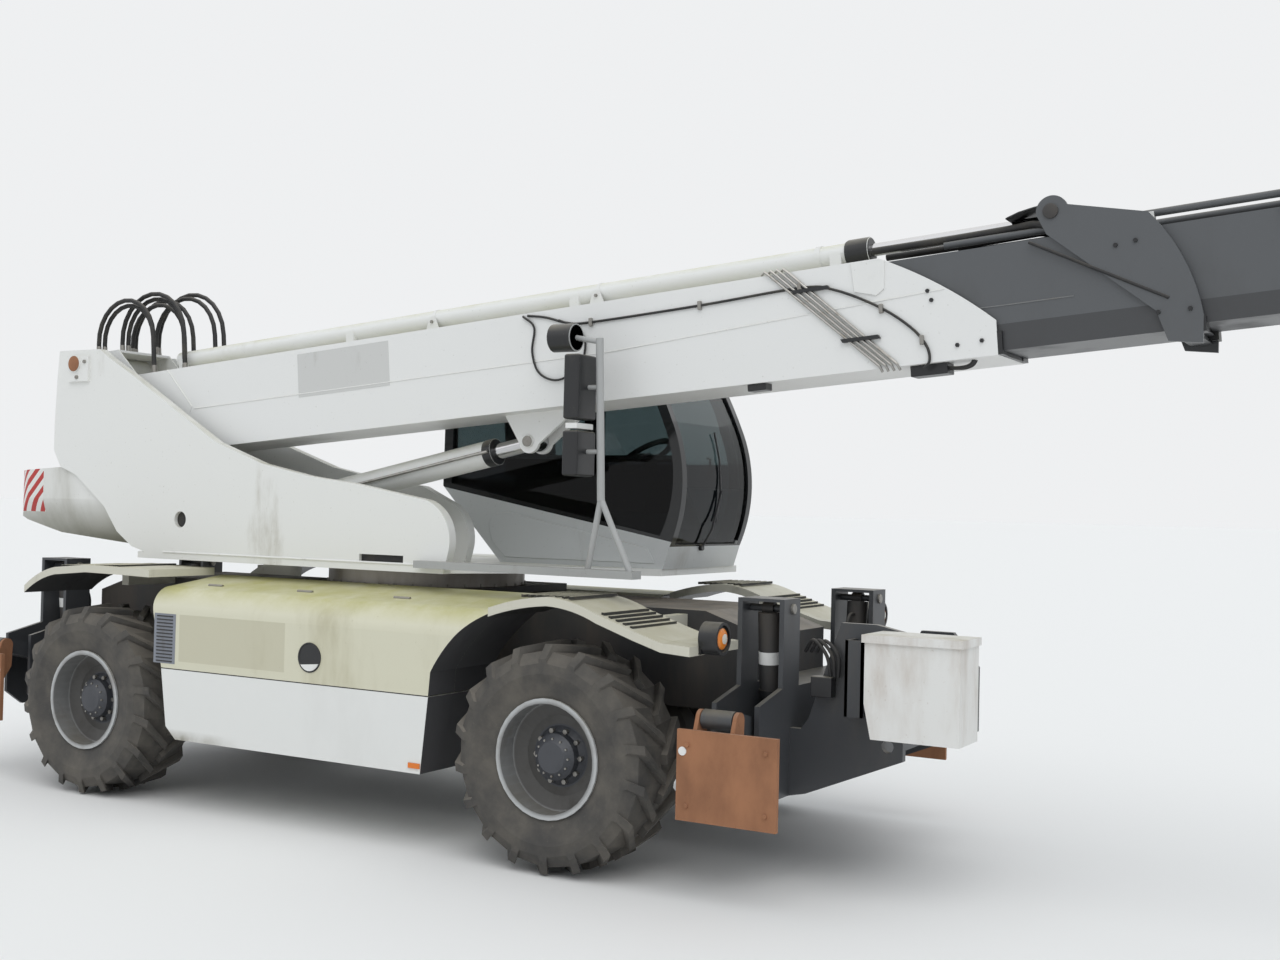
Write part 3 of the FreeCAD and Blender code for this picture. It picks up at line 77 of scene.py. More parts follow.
sky = bpy.data.worlds.new("sky")
bpy.context.scene.world = sky
sky.use_nodes = True
sky_nodes = sky.node_tree.nodes
skylight = sky_nodes["Background"]
skylight.inputs["Color"].default_value = (0.88, 0.94, 1, 1)
skylight.inputs["Strength"].default_value = 0.55
backdrop = sky_nodes.new("ShaderNodeBackground")
backdrop.inputs["Color"].default_value = (0.86, 0.87, 0.88, 1)
rays = sky_nodes.new("ShaderNodeLightPath")
seen = sky_nodes.new("ShaderNodeMath")
seen.operation = "MAXIMUM"
seen_in_glass = sky_nodes.new("ShaderNodeMath")
seen_in_glass.operation = "MAXIMUM"
choice = sky_nodes.new("ShaderNodeMixShader")
join(sky.node_tree, (rays, "Is Camera Ray"), (seen, 0))
join(sky.node_tree, (rays, "Is Transmission Ray"), (seen, 1))
join(sky.node_tree, (seen, 0), (seen_in_glass, 0))
join(sky.node_tree, (rays, "Is Glossy Ray"), (seen_in_glass, 1))
join(sky.node_tree, (seen_in_glass, 0), (choice, 0))
join(sky.node_tree, (skylight, 0), (choice, 1))
join(sky.node_tree, (backdrop, 0), (choice, 2))
join(sky.node_tree, (choice, 0), (sky_nodes["World Output"], 0))


def soft_light(name, source, strength, spread):
    """Even light from a broad patch of the studio's ceiling, in the direction of its source."""
    data = bpy.data.lights.new(name, "SUN")
    data.energy = strength
    data.angle = math.radians(spread)
    lamp = bpy.data.objects.new(name, data)
    bpy.context.scene.collection.objects.link(lamp)
    lamp.rotation_euler = Vector(source).to_track_quat("Z", "Y").to_euler()


soft_light("key_light", (0.9, -1.0, 1.7), 1.15, 50)
soft_light("fill_light", (-1.0, -0.6, 1.3), 0.45, 70)
soft_light("back_light", (0.1, 1.0, 1.5), 0.4, 70)

floor_data = bpy.data.meshes.new("floor")
floor_data.from_pydata([(-400, -400, 0), (400, -400, 0), (400, 400, 0), (-400, 400, 0)], [], [(0, 1, 2, 3)])
floor = bpy.data.objects.new("floor", floor_data)
bpy.context.scene.collection.objects.link(floor)
floor_paint = bpy.data.materials.new("floor_paint")
floor_paint.use_nodes = True
floor_paint.node_tree.nodes["Principled BSDF"].inputs["Base Color"].default_value = (0.84, 0.835, 0.82, 1)
floor_paint.node_tree.nodes["Principled BSDF"].inputs["Roughness"].default_value = 0.9
floor_data.materials.append(floor_paint)


# Chassis frame and axles. The frame is a welded steel box with a table for the slewing ring, the axles are
# castings, and both are painted black and covered with dust and old mud.

def group(name, inputs, outputs):
    """An empty shader node group with named sockets."""
    tree = bpy.data.node_groups.new(name, "ShaderNodeTree")
    for socket, kind, value in inputs:
        made = tree.interface.new_socket(name=socket, in_out="INPUT", socket_type="NodeSocket" + kind)
        made.default_value = value
    for socket, kind in outputs:
        tree.interface.new_socket(name=socket, in_out="OUTPUT", socket_type="NodeSocket" + kind)
    return tree, tree.nodes.new("NodeGroupInput"), tree.nodes.new("NodeGroupOutput")


def add(tree, kind, **values):
    """A node with the given values; an input's name is written with _ for its spaces."""
    made = tree.nodes.new(kind)
    for name, value in values.items():
        socket = made.inputs.get(name.replace("_", " "))
        if socket is None:
            setattr(made, name, value)
        else:
            socket.default_value = value
    return made


# stains that run down a wall, with specks between them
stains, stains_in, stains_out = group(
    "stains", (("size", "Float", 2.0), ("spread", "Float", 0.5), ("run", "Float", 0.3)),
    (("stain", "Float"), ("speck", "Float")))
place = add(stains, "ShaderNodeTexCoord")
stretch = add(stains, "ShaderNodeCombineXYZ", X=1.0, Y=1.0)
drawn = add(stains, "ShaderNodeVectorMath", operation="MULTIPLY")
cloud = add(stains, "ShaderNodeTexNoise", Detail=6.0, Roughness=0.62)
start = add(stains, "ShaderNodeMath", operation="SUBTRACT")
start.inputs[0].default_value = 0.78
shade = add(stains, "ShaderNodeMapRange", From_Max=0.8, interpolation_type="SMOOTHSTEP")
grit = add(stains, "ShaderNodeTexNoise", Scale=55.0, Detail=4.0)
grit_shade = add(stains, "ShaderNodeMapRange", From_Min=0.66, From_Max=0.9, To_Max=0.6)
half = add(stains, "ShaderNodeMath", operation="MULTIPLY")
half.inputs[1].default_value = 0.45
join(stains, (stains_in, "run"), (stretch, "Z"))
join(stains, (place, "Object"), (drawn, 0))
join(stains, (stretch, 0), (drawn, 1))
join(stains, (drawn, 0), (cloud, "Vector"))
join(stains, (stains_in, "size"), (cloud, "Scale"))
join(stains, (stains_in, "spread"), (half, 0))
join(stains, (half, 0), (start, 1))
join(stains, (cloud, 0), (shade, "Value"))
join(stains, (start, 0), (shade, "From Min"))
join(stains, (place, "Object"), (grit, "Vector"))
join(stains, (grit, 0), (grit_shade, "Value"))
join(stains, (shade, 0), (stains_out, "stain"))
join(stains, (grit_shade, 0), (stains_out, "speck"))

# dirt that has settled on what faces up
settled, settled_in, settled_out = group(
    "settled_dirt", (("size", "Float", 4.0), ("depth", "Float", 0.8)), (("dirt", "Float"),))
facing = add(settled, "ShaderNodeNewGeometry")
split = add(settled, "ShaderNodeSeparateXYZ")
upward = add(settled, "ShaderNodeMapRange", From_Min=0.35, From_Max=0.9)
settled_place = add(settled, "ShaderNodeTexCoord")
patch = add(settled, "ShaderNodeTexNoise", Detail=5.0, Roughness=0.65)
patch_shade = add(settled, "ShaderNodeMapRange", From_Min=0.3, From_Max=0.62, To_Min=0.25)
both = add(settled, "ShaderNodeMath", operation="MULTIPLY")
deep = add(settled, "ShaderNodeMath", operation="MULTIPLY")
join(settled, (facing, "Normal"), (split, 0))
join(settled, (split, "Z"), (upward, "Value"))
join(settled, (settled_place, "Object"), (patch, "Vector"))
join(settled, (settled_in, "size"), (patch, "Scale"))
join(settled, (patch, 0), (patch_shade, "Value"))
join(settled, (upward, 0), (both, 0))
join(settled, (patch_shade, 0), (both, 1))
join(settled, (both, 0), (deep, 0))
join(settled, (settled_in, "depth"), (deep, 1))
join(settled, (deep, 0), (settled_out, "dirt"))


def tint(tree, factor, first, second):
    """A colour between two; each is a colour or a (node, name) pair, and so is what it returns."""
    mix = tree.nodes.new("ShaderNodeMix")
    mix.data_type = "RGBA"
    sockets = {0: mix.inputs[0], 1: mix.inputs[6], 2: mix.inputs[7]}
    for number, value in enumerate((factor, first, second)):
        if isinstance(value, tuple) and isinstance(value[0], bpy.types.Node):
            tree.links.new(value[0].outputs[value[1]], sockets[number])
        elif number:
            sockets[number].default_value = (*value, 1)
        else:
            sockets[number].default_value = value
    return mix, 2


def worn_paint(name, colour, grime=(0.16, 0.13, 0.09), settled_colour=(0.3, 0.27, 0.2), spread=0.5, size=2.2,
               depth=0.7, rough=0.45, metal=0.0, run=0.3, bump=0.15):
    """A finish with stains, specks and settled dirt over its colour. Returns it, its tree, shader and colour."""
    material = bpy.data.materials.new(name)
    material.use_nodes = True
    tree = material.node_tree
    shader = tree.nodes["Principled BSDF"]
    shader.inputs["Metallic"].default_value = metal
    stain = tree.nodes.new("ShaderNodeGroup")
    stain.node_tree = stains
    stain.inputs["size"].default_value = size
    stain.inputs["spread"].default_value = spread
    stain.inputs["run"].default_value = run
    dirt = tree.nodes.new("ShaderNodeGroup")
    dirt.node_tree = settled
    dirt.inputs["depth"].default_value = depth
    stained = tint(tree, (stain, "stain"), colour, tuple(a * 0.45 + b * 0.55 for a, b in zip(colour, grime)))
    specked = tint(tree, (stain, "speck"), stained, grime)
    colour_out = tint(tree, (dirt, "dirt"), specked, settled_colour)
    join(tree, colour_out, (shader, "Base Color"))
    dull = add(tree, "ShaderNodeMapRange", To_Min=rough, To_Max=min(1.0, rough + 0.35))
    join(tree, (stain, "stain"), (dull, "Value"))
    join(tree, (dull, 0), (shader, "Roughness"))
    relief = add(tree, "ShaderNodeBump", Strength=bump, Distance=0.002)
    join(tree, (stain, "speck"), (relief, "Height"))
    join(tree, (relief, 0), (shader, "Normal"))
    return material, tree, shader, colour_out


def finish(material, *nodes):
    """Gives CAD nodes a material."""
    for node in nodes:
        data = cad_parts[node].data
        data.materials.clear()
        data.materials.append(material)


black_steel = worn_paint("black_steel", (0.028, 0.029, 0.031), settled_colour=(0.2, 0.17, 0.13), depth=0.85,
                         spread=0.9, grime=(0.15, 0.12, 0.09), rough=0.5)[0]
finish(black_steel, "chassis_frame", "axles", *[f"knuckle_{end}_{side}" for end in ("front", "rear")
                                                for side in ("right", "left")])


# Wheels. Each tyre is moulded rubber with slanting bars, grey with dust, on a steel rim that is painted
# silver round a dark hub. Ten nuts hold the rim, and a ring of bolts holds the hub's drive.

axle_x, wheel_y, hub_z = 1.685, 0.975, 0.575
hub_ring_radius, nut_circle, drive_circle = 0.158, 0.130, 0.092

corners = [(f"{end}_{side}", x, y) for end, x in (("front", axle_x), ("rear", -axle_x))
           for side, y in (("right", -wheel_y), ("left", wheel_y))]

tyre_rubber = worn_paint("tyre_rubber", (0.05, 0.048, 0.046), grime=(0.2, 0.18, 0.15), spread=1.15, size=5,
                         settled_colour=(0.24, 0.215, 0.18), depth=0.8, rough=0.8, run=1.0, bump=0.6)[0]
finish(tyre_rubber, *[f"tyre_{corner}" for corner, _, _ in corners])


def calc(tree, operation, *values):
    """A calculation. Each value is a number or a (node, name) pair, and what it returns is such a pair."""
    node = add(tree, "ShaderNodeMath", operation=operation)
    for number, value in enumerate(values):
        if isinstance(value, tuple):
            join(tree, value, (node, number))
        else:
            node.inputs[number].default_value = value
    return node, 0


def within(tree, value, low, high):
    """1 where a value lies between two limits, 0 elsewhere."""
    return calc(tree, "COMPARE", value, (low + high) / 2, (high - low) / 2)


def place_and_facing(tree):
    """Where a point lies and which way its face looks, each as x, y and z."""
    rows = []
    for kind, output in (("ShaderNodeTexCoord", "Object"), ("ShaderNodeNewGeometry", "Normal")):
        parts = add(tree, "ShaderNodeSeparateXYZ")
        join(tree, (add(tree, kind), output), (parts, 0))
        rows.append([(parts, axis) for axis in "XYZ"])
    return rows


rim_paint, rim_tree, rim_shader, rim_colour = worn_paint(
    "rim_paint", (0.46, 0.47, 0.47), grime=(0.17, 0.14, 0.11), spread=0.75, size=6, metal=0.1, rough=0.42, run=1.0)
(rim_x, _, rim_z), _ = place_and_facing(rim_tree)
ahead_of_hub = calc(rim_tree, "SUBTRACT", calc(rim_tree, "ABSOLUTE", rim_x), axle_x)
above_hub = calc(rim_tree, "SUBTRACT", rim_z, hub_z)
hub_distance = calc(rim_tree, "SQRT", calc(rim_tree, "ADD", calc(rim_tree, "MULTIPLY", ahead_of_hub, ahead_of_hub),
                                           calc(rim_tree, "MULTIPLY", above_hub, above_hub)))
on_hub = calc(rim_tree, "LESS_THAN", hub_distance, hub_ring_radius)
in_dish = add(rim_tree, "ShaderNodeMapRange", From_Min=0.287, From_Max=0.262, To_Max=0.93)
join(rim_tree, hub_distance, (in_dish, "Value"))
dark_dish = tint(rim_tree, (in_dish, 0), rim_colour, (0.045, 0.041, 0.037))
join(rim_tree, tint(rim_tree, on_hub, dark_dish, (0.06, 0.063, 0.072)), (rim_shader, "Base Color"))
finish(rim_paint, *[f"rim_{corner}" for corner, _, _ in corners])


def node_tool(name, sockets):
    """An empty geometry tree with named inputs for its sizes, and a material."""
    tree = bpy.data.node_groups.new(name, "GeometryNodeTree")
    for socket, kind in (*sockets, ("material", "Material")):
        tree.interface.new_socket(name=socket, in_out="INPUT", socket_type="NodeSocket" + kind)
    tree.interface.new_socket(name="mesh", in_out="OUTPUT", socket_type="NodeSocketGeometry")
    return tree, tree.nodes.new("NodeGroupInput")


def close_tool(tree, inputs, points, item):
    """Puts an item on each point and ends the tree in a plain mesh with its material."""
    spread = tree.nodes.new("GeometryNodeInstanceOnPoints")
    real = tree.nodes.new("GeometryNodeRealizeInstances")
    painted = tree.nodes.new("GeometryNodeSetMaterial")
    join(tree, (points, 0), (spread, "Points"))
    join(tree, (item, 0), (spread, "Instance"))
    join(tree, (spread, 0), (real, 0))
    join(tree, (real, 0), (painted, "Geometry"))
    join(tree, (inputs, "material"), (painted, "Material"))
    join(tree, (painted, 0), (tree.nodes.new("NodeGroupOutput"), 0))
    return spread


# hexagon heads round a circle
bolt_circle, circle_in = node_tool("bolt_circle", (
    ("count", "Int"), ("radius", "Float"), ("head", "Float"), ("height", "Float")))
circle_points = bolt_circle.nodes.new("GeometryNodeMeshCircle")
circle_head = bolt_circle.nodes.new("GeometryNodeMeshCylinder")
circle_head.inputs["Vertices"].default_value = 6
join(bolt_circle, (circle_in, "count"), (circle_points, "Vertices"))
join(bolt_circle, (circle_in, "radius"), (circle_points, "Radius"))
join(bolt_circle, (circle_in, "head"), (circle_head, "Radius"))
join(bolt_circle, (circle_in, "height"), (circle_head, "Depth"))
close_tool(bolt_circle, circle_in, circle_points, circle_head)


def grown(tree, matrix, **sizes):
    """The mesh that a geometry tree makes with the given sizes, put in its place."""
    holder = bpy.data.objects.new("holder", bpy.data.meshes.new("holder"))
    bpy.context.scene.collection.objects.link(holder)
    tool = holder.modifiers.new("tool", "NODES")
    tool.node_group = tree
    for socket in tree.interface.items_tree:
        if socket.name in sizes:
            tool[socket.identifier] = sizes[socket.name]
    mesh = bpy.data.meshes.new_from_object(holder.evaluated_get(bpy.context.evaluated_depsgraph_get()))
    bpy.data.objects.remove(holder)
    mesh.transform(matrix)
    return mesh


def piece(name, body, material, *meshes, smooth=35, edge=0.0):
    """One object of several meshes that rides on a body, with a width for its rounded edges."""
    combined = bmesh.new()
    for mesh in meshes:
        combined.from_mesh(mesh)
    data = bpy.data.meshes.new(name)
    combined.to_mesh(data)
    combined.free()
    data.materials.clear()
    data.materials.append(material)
    data.shade_smooth()
    data.set_sharp_from_angle(angle=math.radians(smooth))
    obj = bpy.data.objects.new(name, data)
    bpy.context.scene.collection.objects.link(obj)
    if edge:
        rounding = obj.modifiers.new("rounding", "BEVEL")
        rounding.width = edge
        rounding.segments = 2
        rounding.harden_normals = True
    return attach(obj, body)


def facing_out(place, direction):
    """Place and turn that lays a tool's upward axis along a direction."""
    return Matrix.Translation(place) @ Vector(direction).to_track_quat("Z", "Y").to_matrix().to_4x4()


plated_steel = worn_paint("plated_steel", (0.28, 0.27, 0.25), grime=(0.14, 0.1, 0.07), metal=0.6, rough=0.4,
                          size=14, spread=0.7, run=1.0)[0]
for corner, x, y in corners:
    outward = math.copysign(1, y)
    nuts = grown(bolt_circle, facing_out((x, y + outward * 0.082, hub_z), (0, outward, 0)), count=10,
                 radius=nut_circle, head=0.013, height=0.02, material=plated_steel)
    drive_bolts = grown(bolt_circle, facing_out((x, y + outward * 0.137, hub_z), (0, outward, 0)), count=12,
                        radius=drive_circle, head=0.006, height=0.012, material=plated_steel)
    piece(f"wheel_nuts_{corner}", f"wheel_{corner}", plated_steel, nuts, drive_bolts)


# Hood, lower body and left tank box. They are steel sheet in off-white paint, with yellow-green growth on top.
# The hood has a louvred panel behind and a round latch, and rubber strips cover its seams.

growth = (0.44, 0.42, 0.15)
hood_face, hood_seam = -1.2, 0.823
patch_along, patch_upward = (-0.85, -0.03), (0.87, 1.14)
white_paint = worn_paint("white_paint", (0.79, 0.79, 0.765), grime=(0.26, 0.22, 0.14),
                         settled_colour=(0.40, 0.38, 0.25), spread=0.36, depth=0.5)[0]
hood_paint, hood_tree, hood_shader, hood_colour = worn_paint(
    "hood_paint", (0.66, 0.64, 0.50), grime=(0.34, 0.30, 0.16), settled_colour=growth, spread=0.62, depth=0.85)
(hood_x, _, hood_z), (hood_nx, hood_ny, _) = place_and_facing(hood_tree)
# below the seam the paint is whiter, with a brown stain behind; where a name stood, a duller patch is left
below_seam = calc(hood_tree, "MULTIPLY", calc(hood_tree, "LESS_THAN", hood_z, hood_seam), 0.78)
hood_tone = tint(hood_tree, below_seam, hood_colour, (0.80, 0.81, 0.82))
blank_patch = calc(hood_tree, "MULTIPLY", within(hood_tree, hood_x, *patch_along),
                   calc(hood_tree, "MULTIPLY", within(hood_tree, hood_z, *patch_upward),
                        calc(hood_tree, "LESS_THAN", hood_ny, -0.5)))
hood_tone = tint(hood_tree, calc(hood_tree, "MULTIPLY", blank_patch, 0.4), hood_tone, (0.42, 0.39, 0.27))
blotch = add(hood_tree, "ShaderNodeTexNoise", Scale=7.0, Detail=6.0)
join(hood_tree, (add(hood_tree, "ShaderNodeTexCoord"), "Object"), (blotch, "Vector"))
fade = add(hood_tree, "ShaderNodeMapRange", From_Min=-0.35, From_Max=-0.95)
join(hood_tree, hood_x, (fade, "Value"))
low_edge = add(hood_tree, "ShaderNodeMapRange", From_Min=0.48, From_Max=0.43)
join(hood_tree, hood_z, (low_edge, "Value"))
rear_stain = calc(hood_tree, "MULTIPLY", calc(hood_tree, "MULTIPLY", (fade, 0), (low_edge, 0)),
                  calc(hood_tree, "MULTIPLY_ADD", (blotch, 0), 2.6, -0.6))
hood_tone = tint(hood_tree, rear_stain, hood_tone, (0.13, 0.105, 0.045))
# painted shade: the inner side of the front wheel arch, whose faces look forward, is painted near-black grey
shaded_arch = calc(hood_tree, "MULTIPLY", calc(hood_tree, "GREATER_THAN", hood_nx, 0.25),
               calc(hood_tree, "GREATER_THAN", hood_x, 0.6))
join(hood_tree, tint(hood_tree, shaded_arch, hood_tone, (0.06, 0.06, 0.063)), (hood_shader, "Base Color"))
finish(hood_paint, "side_box_right", "hood_lid", "side_box_left")
finish(worn_paint("engine_iron", (0.06, 0.06, 0.062), spread=0.9, rough=0.6)[0], "engine_block")

# a straight row of small blocks
block_row, row_in = node_tool("block_row", (("count", "Int"), ("pitch", "Vector"), ("block", "Vector")))
row_points = block_row.nodes.new("GeometryNodeMeshLine")
row_block = block_row.nodes.new("GeometryNodeMeshCube")
join(block_row, (row_in, "count"), (row_points, "Count"))
join(block_row, (row_in, "pitch"), (row_points, "Offset"))
join(block_row, (row_in, "block"), (row_block, "Size"))
close_tool(block_row, row_in, row_points, row_block)


def closed(vertices, faces):
    """A mesh from corners and faces, with its doubles merged and its faces outward."""
    shape = bmesh.new()
    made = [shape.verts.new(vertex) for vertex in vertices]
    for face in faces:
        shape.faces.new([made[index] for index in face])
    bmesh.ops.remove_doubles(shape, verts=shape.verts, dist=1e-6)
    bmesh.ops.recalc_face_normals(shape, faces=shape.faces)
    mesh = bpy.data.meshes.new("shape")
    shape.to_mesh(mesh)
    shape.free()
    return mesh


def plate(corners, thickness):
    """A plate of any flat outline, given in space, and the vector of its thickness."""
    count = len(corners)
    points = [Vector(corner) for corner in corners]
    points += [point + Vector(thickness) for point in points]
    sides = [(k, (k + 1) % count, (k + 1) % count + count, k + count) for k in range(count)]
    return closed(points, [tuple(range(count)), tuple(range(count, 2 * count)), *sides])


def bar(low, high):
    """A block between two corners."""
    x, y, z = low
    return plate([(x, y, z), (high[0], y, z), (high[0], high[1], z), (x, high[1], z)], (0, 0, high[2] - z))


def round_part(start, direction, profile, sides=28):
    """A turned part. Its profile is (along, radius) pairs from end to end."""
    turn = facing_out(start, direction)
    vertices, faces = [], []
    rows = []
    for along, radius in profile:
        rows.append(len(vertices))
        for k in range(sides):
            angle = 2 * math.pi * k / sides
            vertices.append(turn @ Vector((radius * math.cos(angle), radius * math.sin(angle), along)))
    for first, second in zip(rows, rows[1:]):
        for k in range(sides):
            faces.append((first + k, first + (k + 1) % sides, second + (k + 1) % sides, second + k))
    faces += [tuple(rows[0] + k for k in range(sides)), tuple(rows[-1] + k for k in range(sides))]
    return closed(vertices, faces)


def run_of(points, radius, sides=12):
    """A round bar, pipe or hose that follows points."""
    points = [Vector(point) for point in points]
    vertices, faces = [], []
    side = None
    for index, point in enumerate(points):
        ahead = (points[min(index + 1, len(points) - 1)] - points[max(index - 1, 0)]).normalized()
        if side is None:
            side = ahead.orthogonal().normalized()
        side = (side - ahead * side.dot(ahead)).normalized()
        across = ahead.cross(side)
        for k in range(sides):
            angle = 2 * math.pi * k / sides
            vertices.append(point + (side * math.cos(angle) + across * math.sin(angle)) * radius)
    for index in range(len(points) - 1):
        low, high = index * sides, (index + 1) * sides
        for k in range(sides):
            faces.append((low + k, low + (k + 1) % sides, high + (k + 1) % sides, high + k))
    faces += [tuple(range(sides)), tuple(range(len(vertices) - sides, len(vertices)))]
    return closed(vertices, faces)


def curve_through(points, steps=6):
    """Points of a smooth line through the given ones."""
    ends = [Vector(p) for p in points]
    padded_ends = [ends[0] * 2 - ends[1], *ends, ends[-1] * 2 - ends[-2]]
    line = []
    for a, b, c, d in zip(padded_ends, padded_ends[1:], padded_ends[2:], padded_ends[3:]):
        for step in range(steps):
            t = step / steps
            line.append(0.5 * (2 * b + (c - a) * t + (2 * a - 5 * b + 4 * c - d) * t * t
                               + (3 * b - a - 3 * c + d) * t * t * t))
    return line + [ends[-1]]


louvre_rear, louvre_low = -1.052, 0.865
black_rubber = worn_paint("black_rubber", (0.016, 0.016, 0.017), grime=(0.12, 0.11, 0.09), spread=0.8, size=8,
                          settled_colour=(0.2, 0.18, 0.15), depth=0.5, rough=0.62, run=1.0)[0]
black_plastic = worn_paint("black_plastic", (0.014, 0.0145, 0.016), grime=(0.09, 0.085, 0.07), spread=0.5, size=5,
                           depth=0.5, rough=0.35, run=1.0)[0]
louvre_panel = worn_paint("louvre_panel", (0.22, 0.235, 0.27), spread=0.5, size=9)[0]
piece("louvre_panel", "hood", louvre_panel,
      bar((-1.055, hood_face - 0.0015, 0.852), (-0.880, hood_face + 0.001, 1.14)))
piece("hood_louvres", "hood", black_plastic, grown(
    block_row, Matrix.Translation((louvre_rear + 0.085, hood_face - 0.0025, louvre_low)), count=14,
    pitch=(0, 0, 0.02), block=(0.13, 0.005, 0.007), material=black_plastic))
latch_x, latch_z, cup = 0.155, 0.965, 0.082
piece("hood_latch", "hood", black_plastic, round_part(
    (latch_x, hood_face + 0.001, latch_z), (0, -1, 0),
    [(0, cup), (0.005, cup), (0.005, cup - 0.007), (0.002, cup - 0.009)]))
lip = [(latch_x + 0.073 * math.cos(math.radians(a)), hood_face - 0.001, latch_z + 0.073 * math.sin(math.radians(a)))
       for a in range(215, 336, 10)]
piece("latch_lip", "hood", white_paint, plate(lip, (0, -0.005, 0)))
piece("hood_seal", "chassis", black_rubber,
      bar((-0.98, hood_face + 0.001, 0.8202), (0.955, hood_face + 0.03, 0.8255)))
piece("hood_hinges", "hood", plated_steel, *[
    round_part((x, -0.980, 1.3015), (1, 0, 0), [(0, 0.009), (0.11, 0.009)], 12) for x in (-0.85, -0.15, 0.55)])
piece("sill_marker", "chassis", worn_paint("orange_lens", (0.75, 0.19, 0.02), rough=0.2, spread=0.3, size=9)[0],
      bar((0.855, hood_face - 0.008, 0.447), (0.93, hood_face, 0.475)), edge=0.002)
tread_blocks = []
for step_z in (0.56, 0.86):
    tread_blocks.append(grown(block_row, Matrix.Translation((-0.15, 1.115, step_z + 0.004)), count=16,
                              pitch=(0.0295, 0, 0), block=(0.012, 0.13, 0.008), material=plated_steel))
piece("step_treads", "chassis", plated_steel, *tread_blocks)


# Fenders. Moulded covers over the wheels, cream with dust on top, whose tops carry rows of low ribs against
# slipping. Painted shade makes their faces that look down near-black. Brackets hang them on the frame.

fender_cover = worn_paint("fender_cover", (0.03, 0.03, 0.028), settled_colour=(0.50, 0.47, 0.35), depth=1.25,
                          spread=0.7, rough=0.7, grime=(0.2, 0.17, 0.12), size=5)[0]
fender_paint, fender_tree, fender_shader, fender_colour = worn_paint(
    "fender_paint", (0.60, 0.58, 0.49), grime=(0.25, 0.22, 0.15), settled_colour=(0.42, 0.39, 0.26), size=5)
_, (_, _, fender_nz) = place_and_facing(fender_tree)
# painted shade: faces that look down are painted near-black
join(fender_tree, tint(fender_tree, calc(fender_tree, "LESS_THAN", fender_nz, -0.05), fender_colour,
                       (0.02, 0.02, 0.02)), (fender_shader, "Base Color"))
finish(fender_paint, "fenders")
rib_runs = (
    # x and z of the first rib, x and z of the last one, how many
    ((1.52, 1.368), (1.80, 1.371), 8),
    ((1.99, 1.304), (2.15, 1.248), 5),
    ((-1.93, 1.377), (-1.42, 1.396), 14),
)
for side, y in (("right", -0.945), ("left", 0.945)):
    ribs = []
    for (x0, z0), (x1, z1), count in rib_runs:
        pitch = ((x1 - x0) / (count - 1), 0, (z1 - z0) / (count - 1))
        ribs.append(grown(block_row, Matrix.Translation((x0, y, z0)), count=count, pitch=pitch,
                          block=(0.016, 0.44, 0.014), material=fender_cover))
    piece(f"fender_ribs_{side}", "chassis", fender_cover, *ribs)


# Outriggers. Welded steel frames with a leg, a jack and a hinged foot at each corner, in dark grey paint.
# The feet are bare and rusty where they meet the ground.

graphite_paint = worn_paint("graphite_paint", (0.052, 0.055, 0.06), grime=(0.13, 0.11, 0.085), spread=0.6,
                            settled_colour=(0.2, 0.18, 0.14), depth=0.7, rough=0.42)[0]
finish(graphite_paint, "outrigger_frames", *[f"leg_{corner}" for corner, _, _ in corners])
rusty_steel = worn_paint("rusty_steel", (0.37, 0.17, 0.085), grime=(0.11, 0.055, 0.035), spread=1.15, size=5,
                         settled_colour=(0.36, 0.22, 0.15), depth=0.5, rough=0.85, run=0.5, bump=0.5)[0]
finish(rusty_steel, *[f"foot_{corner}" for corner, _, _ in corners])
finish(black_steel, *[f"jack_barrel_{corner}" for corner, _, _ in corners])
chromed_rod = worn_paint("chromed_rod", (0.55, 0.55, 0.56), grime=(0.2, 0.17, 0.13), spread=0.35, size=12,
                         depth=0.3, metal=1.0, rough=0.12, run=1.0, bump=0.02)[0]
finish(chromed_rod, *[f"jack_rod_{corner}" for corner, _, _ in corners])

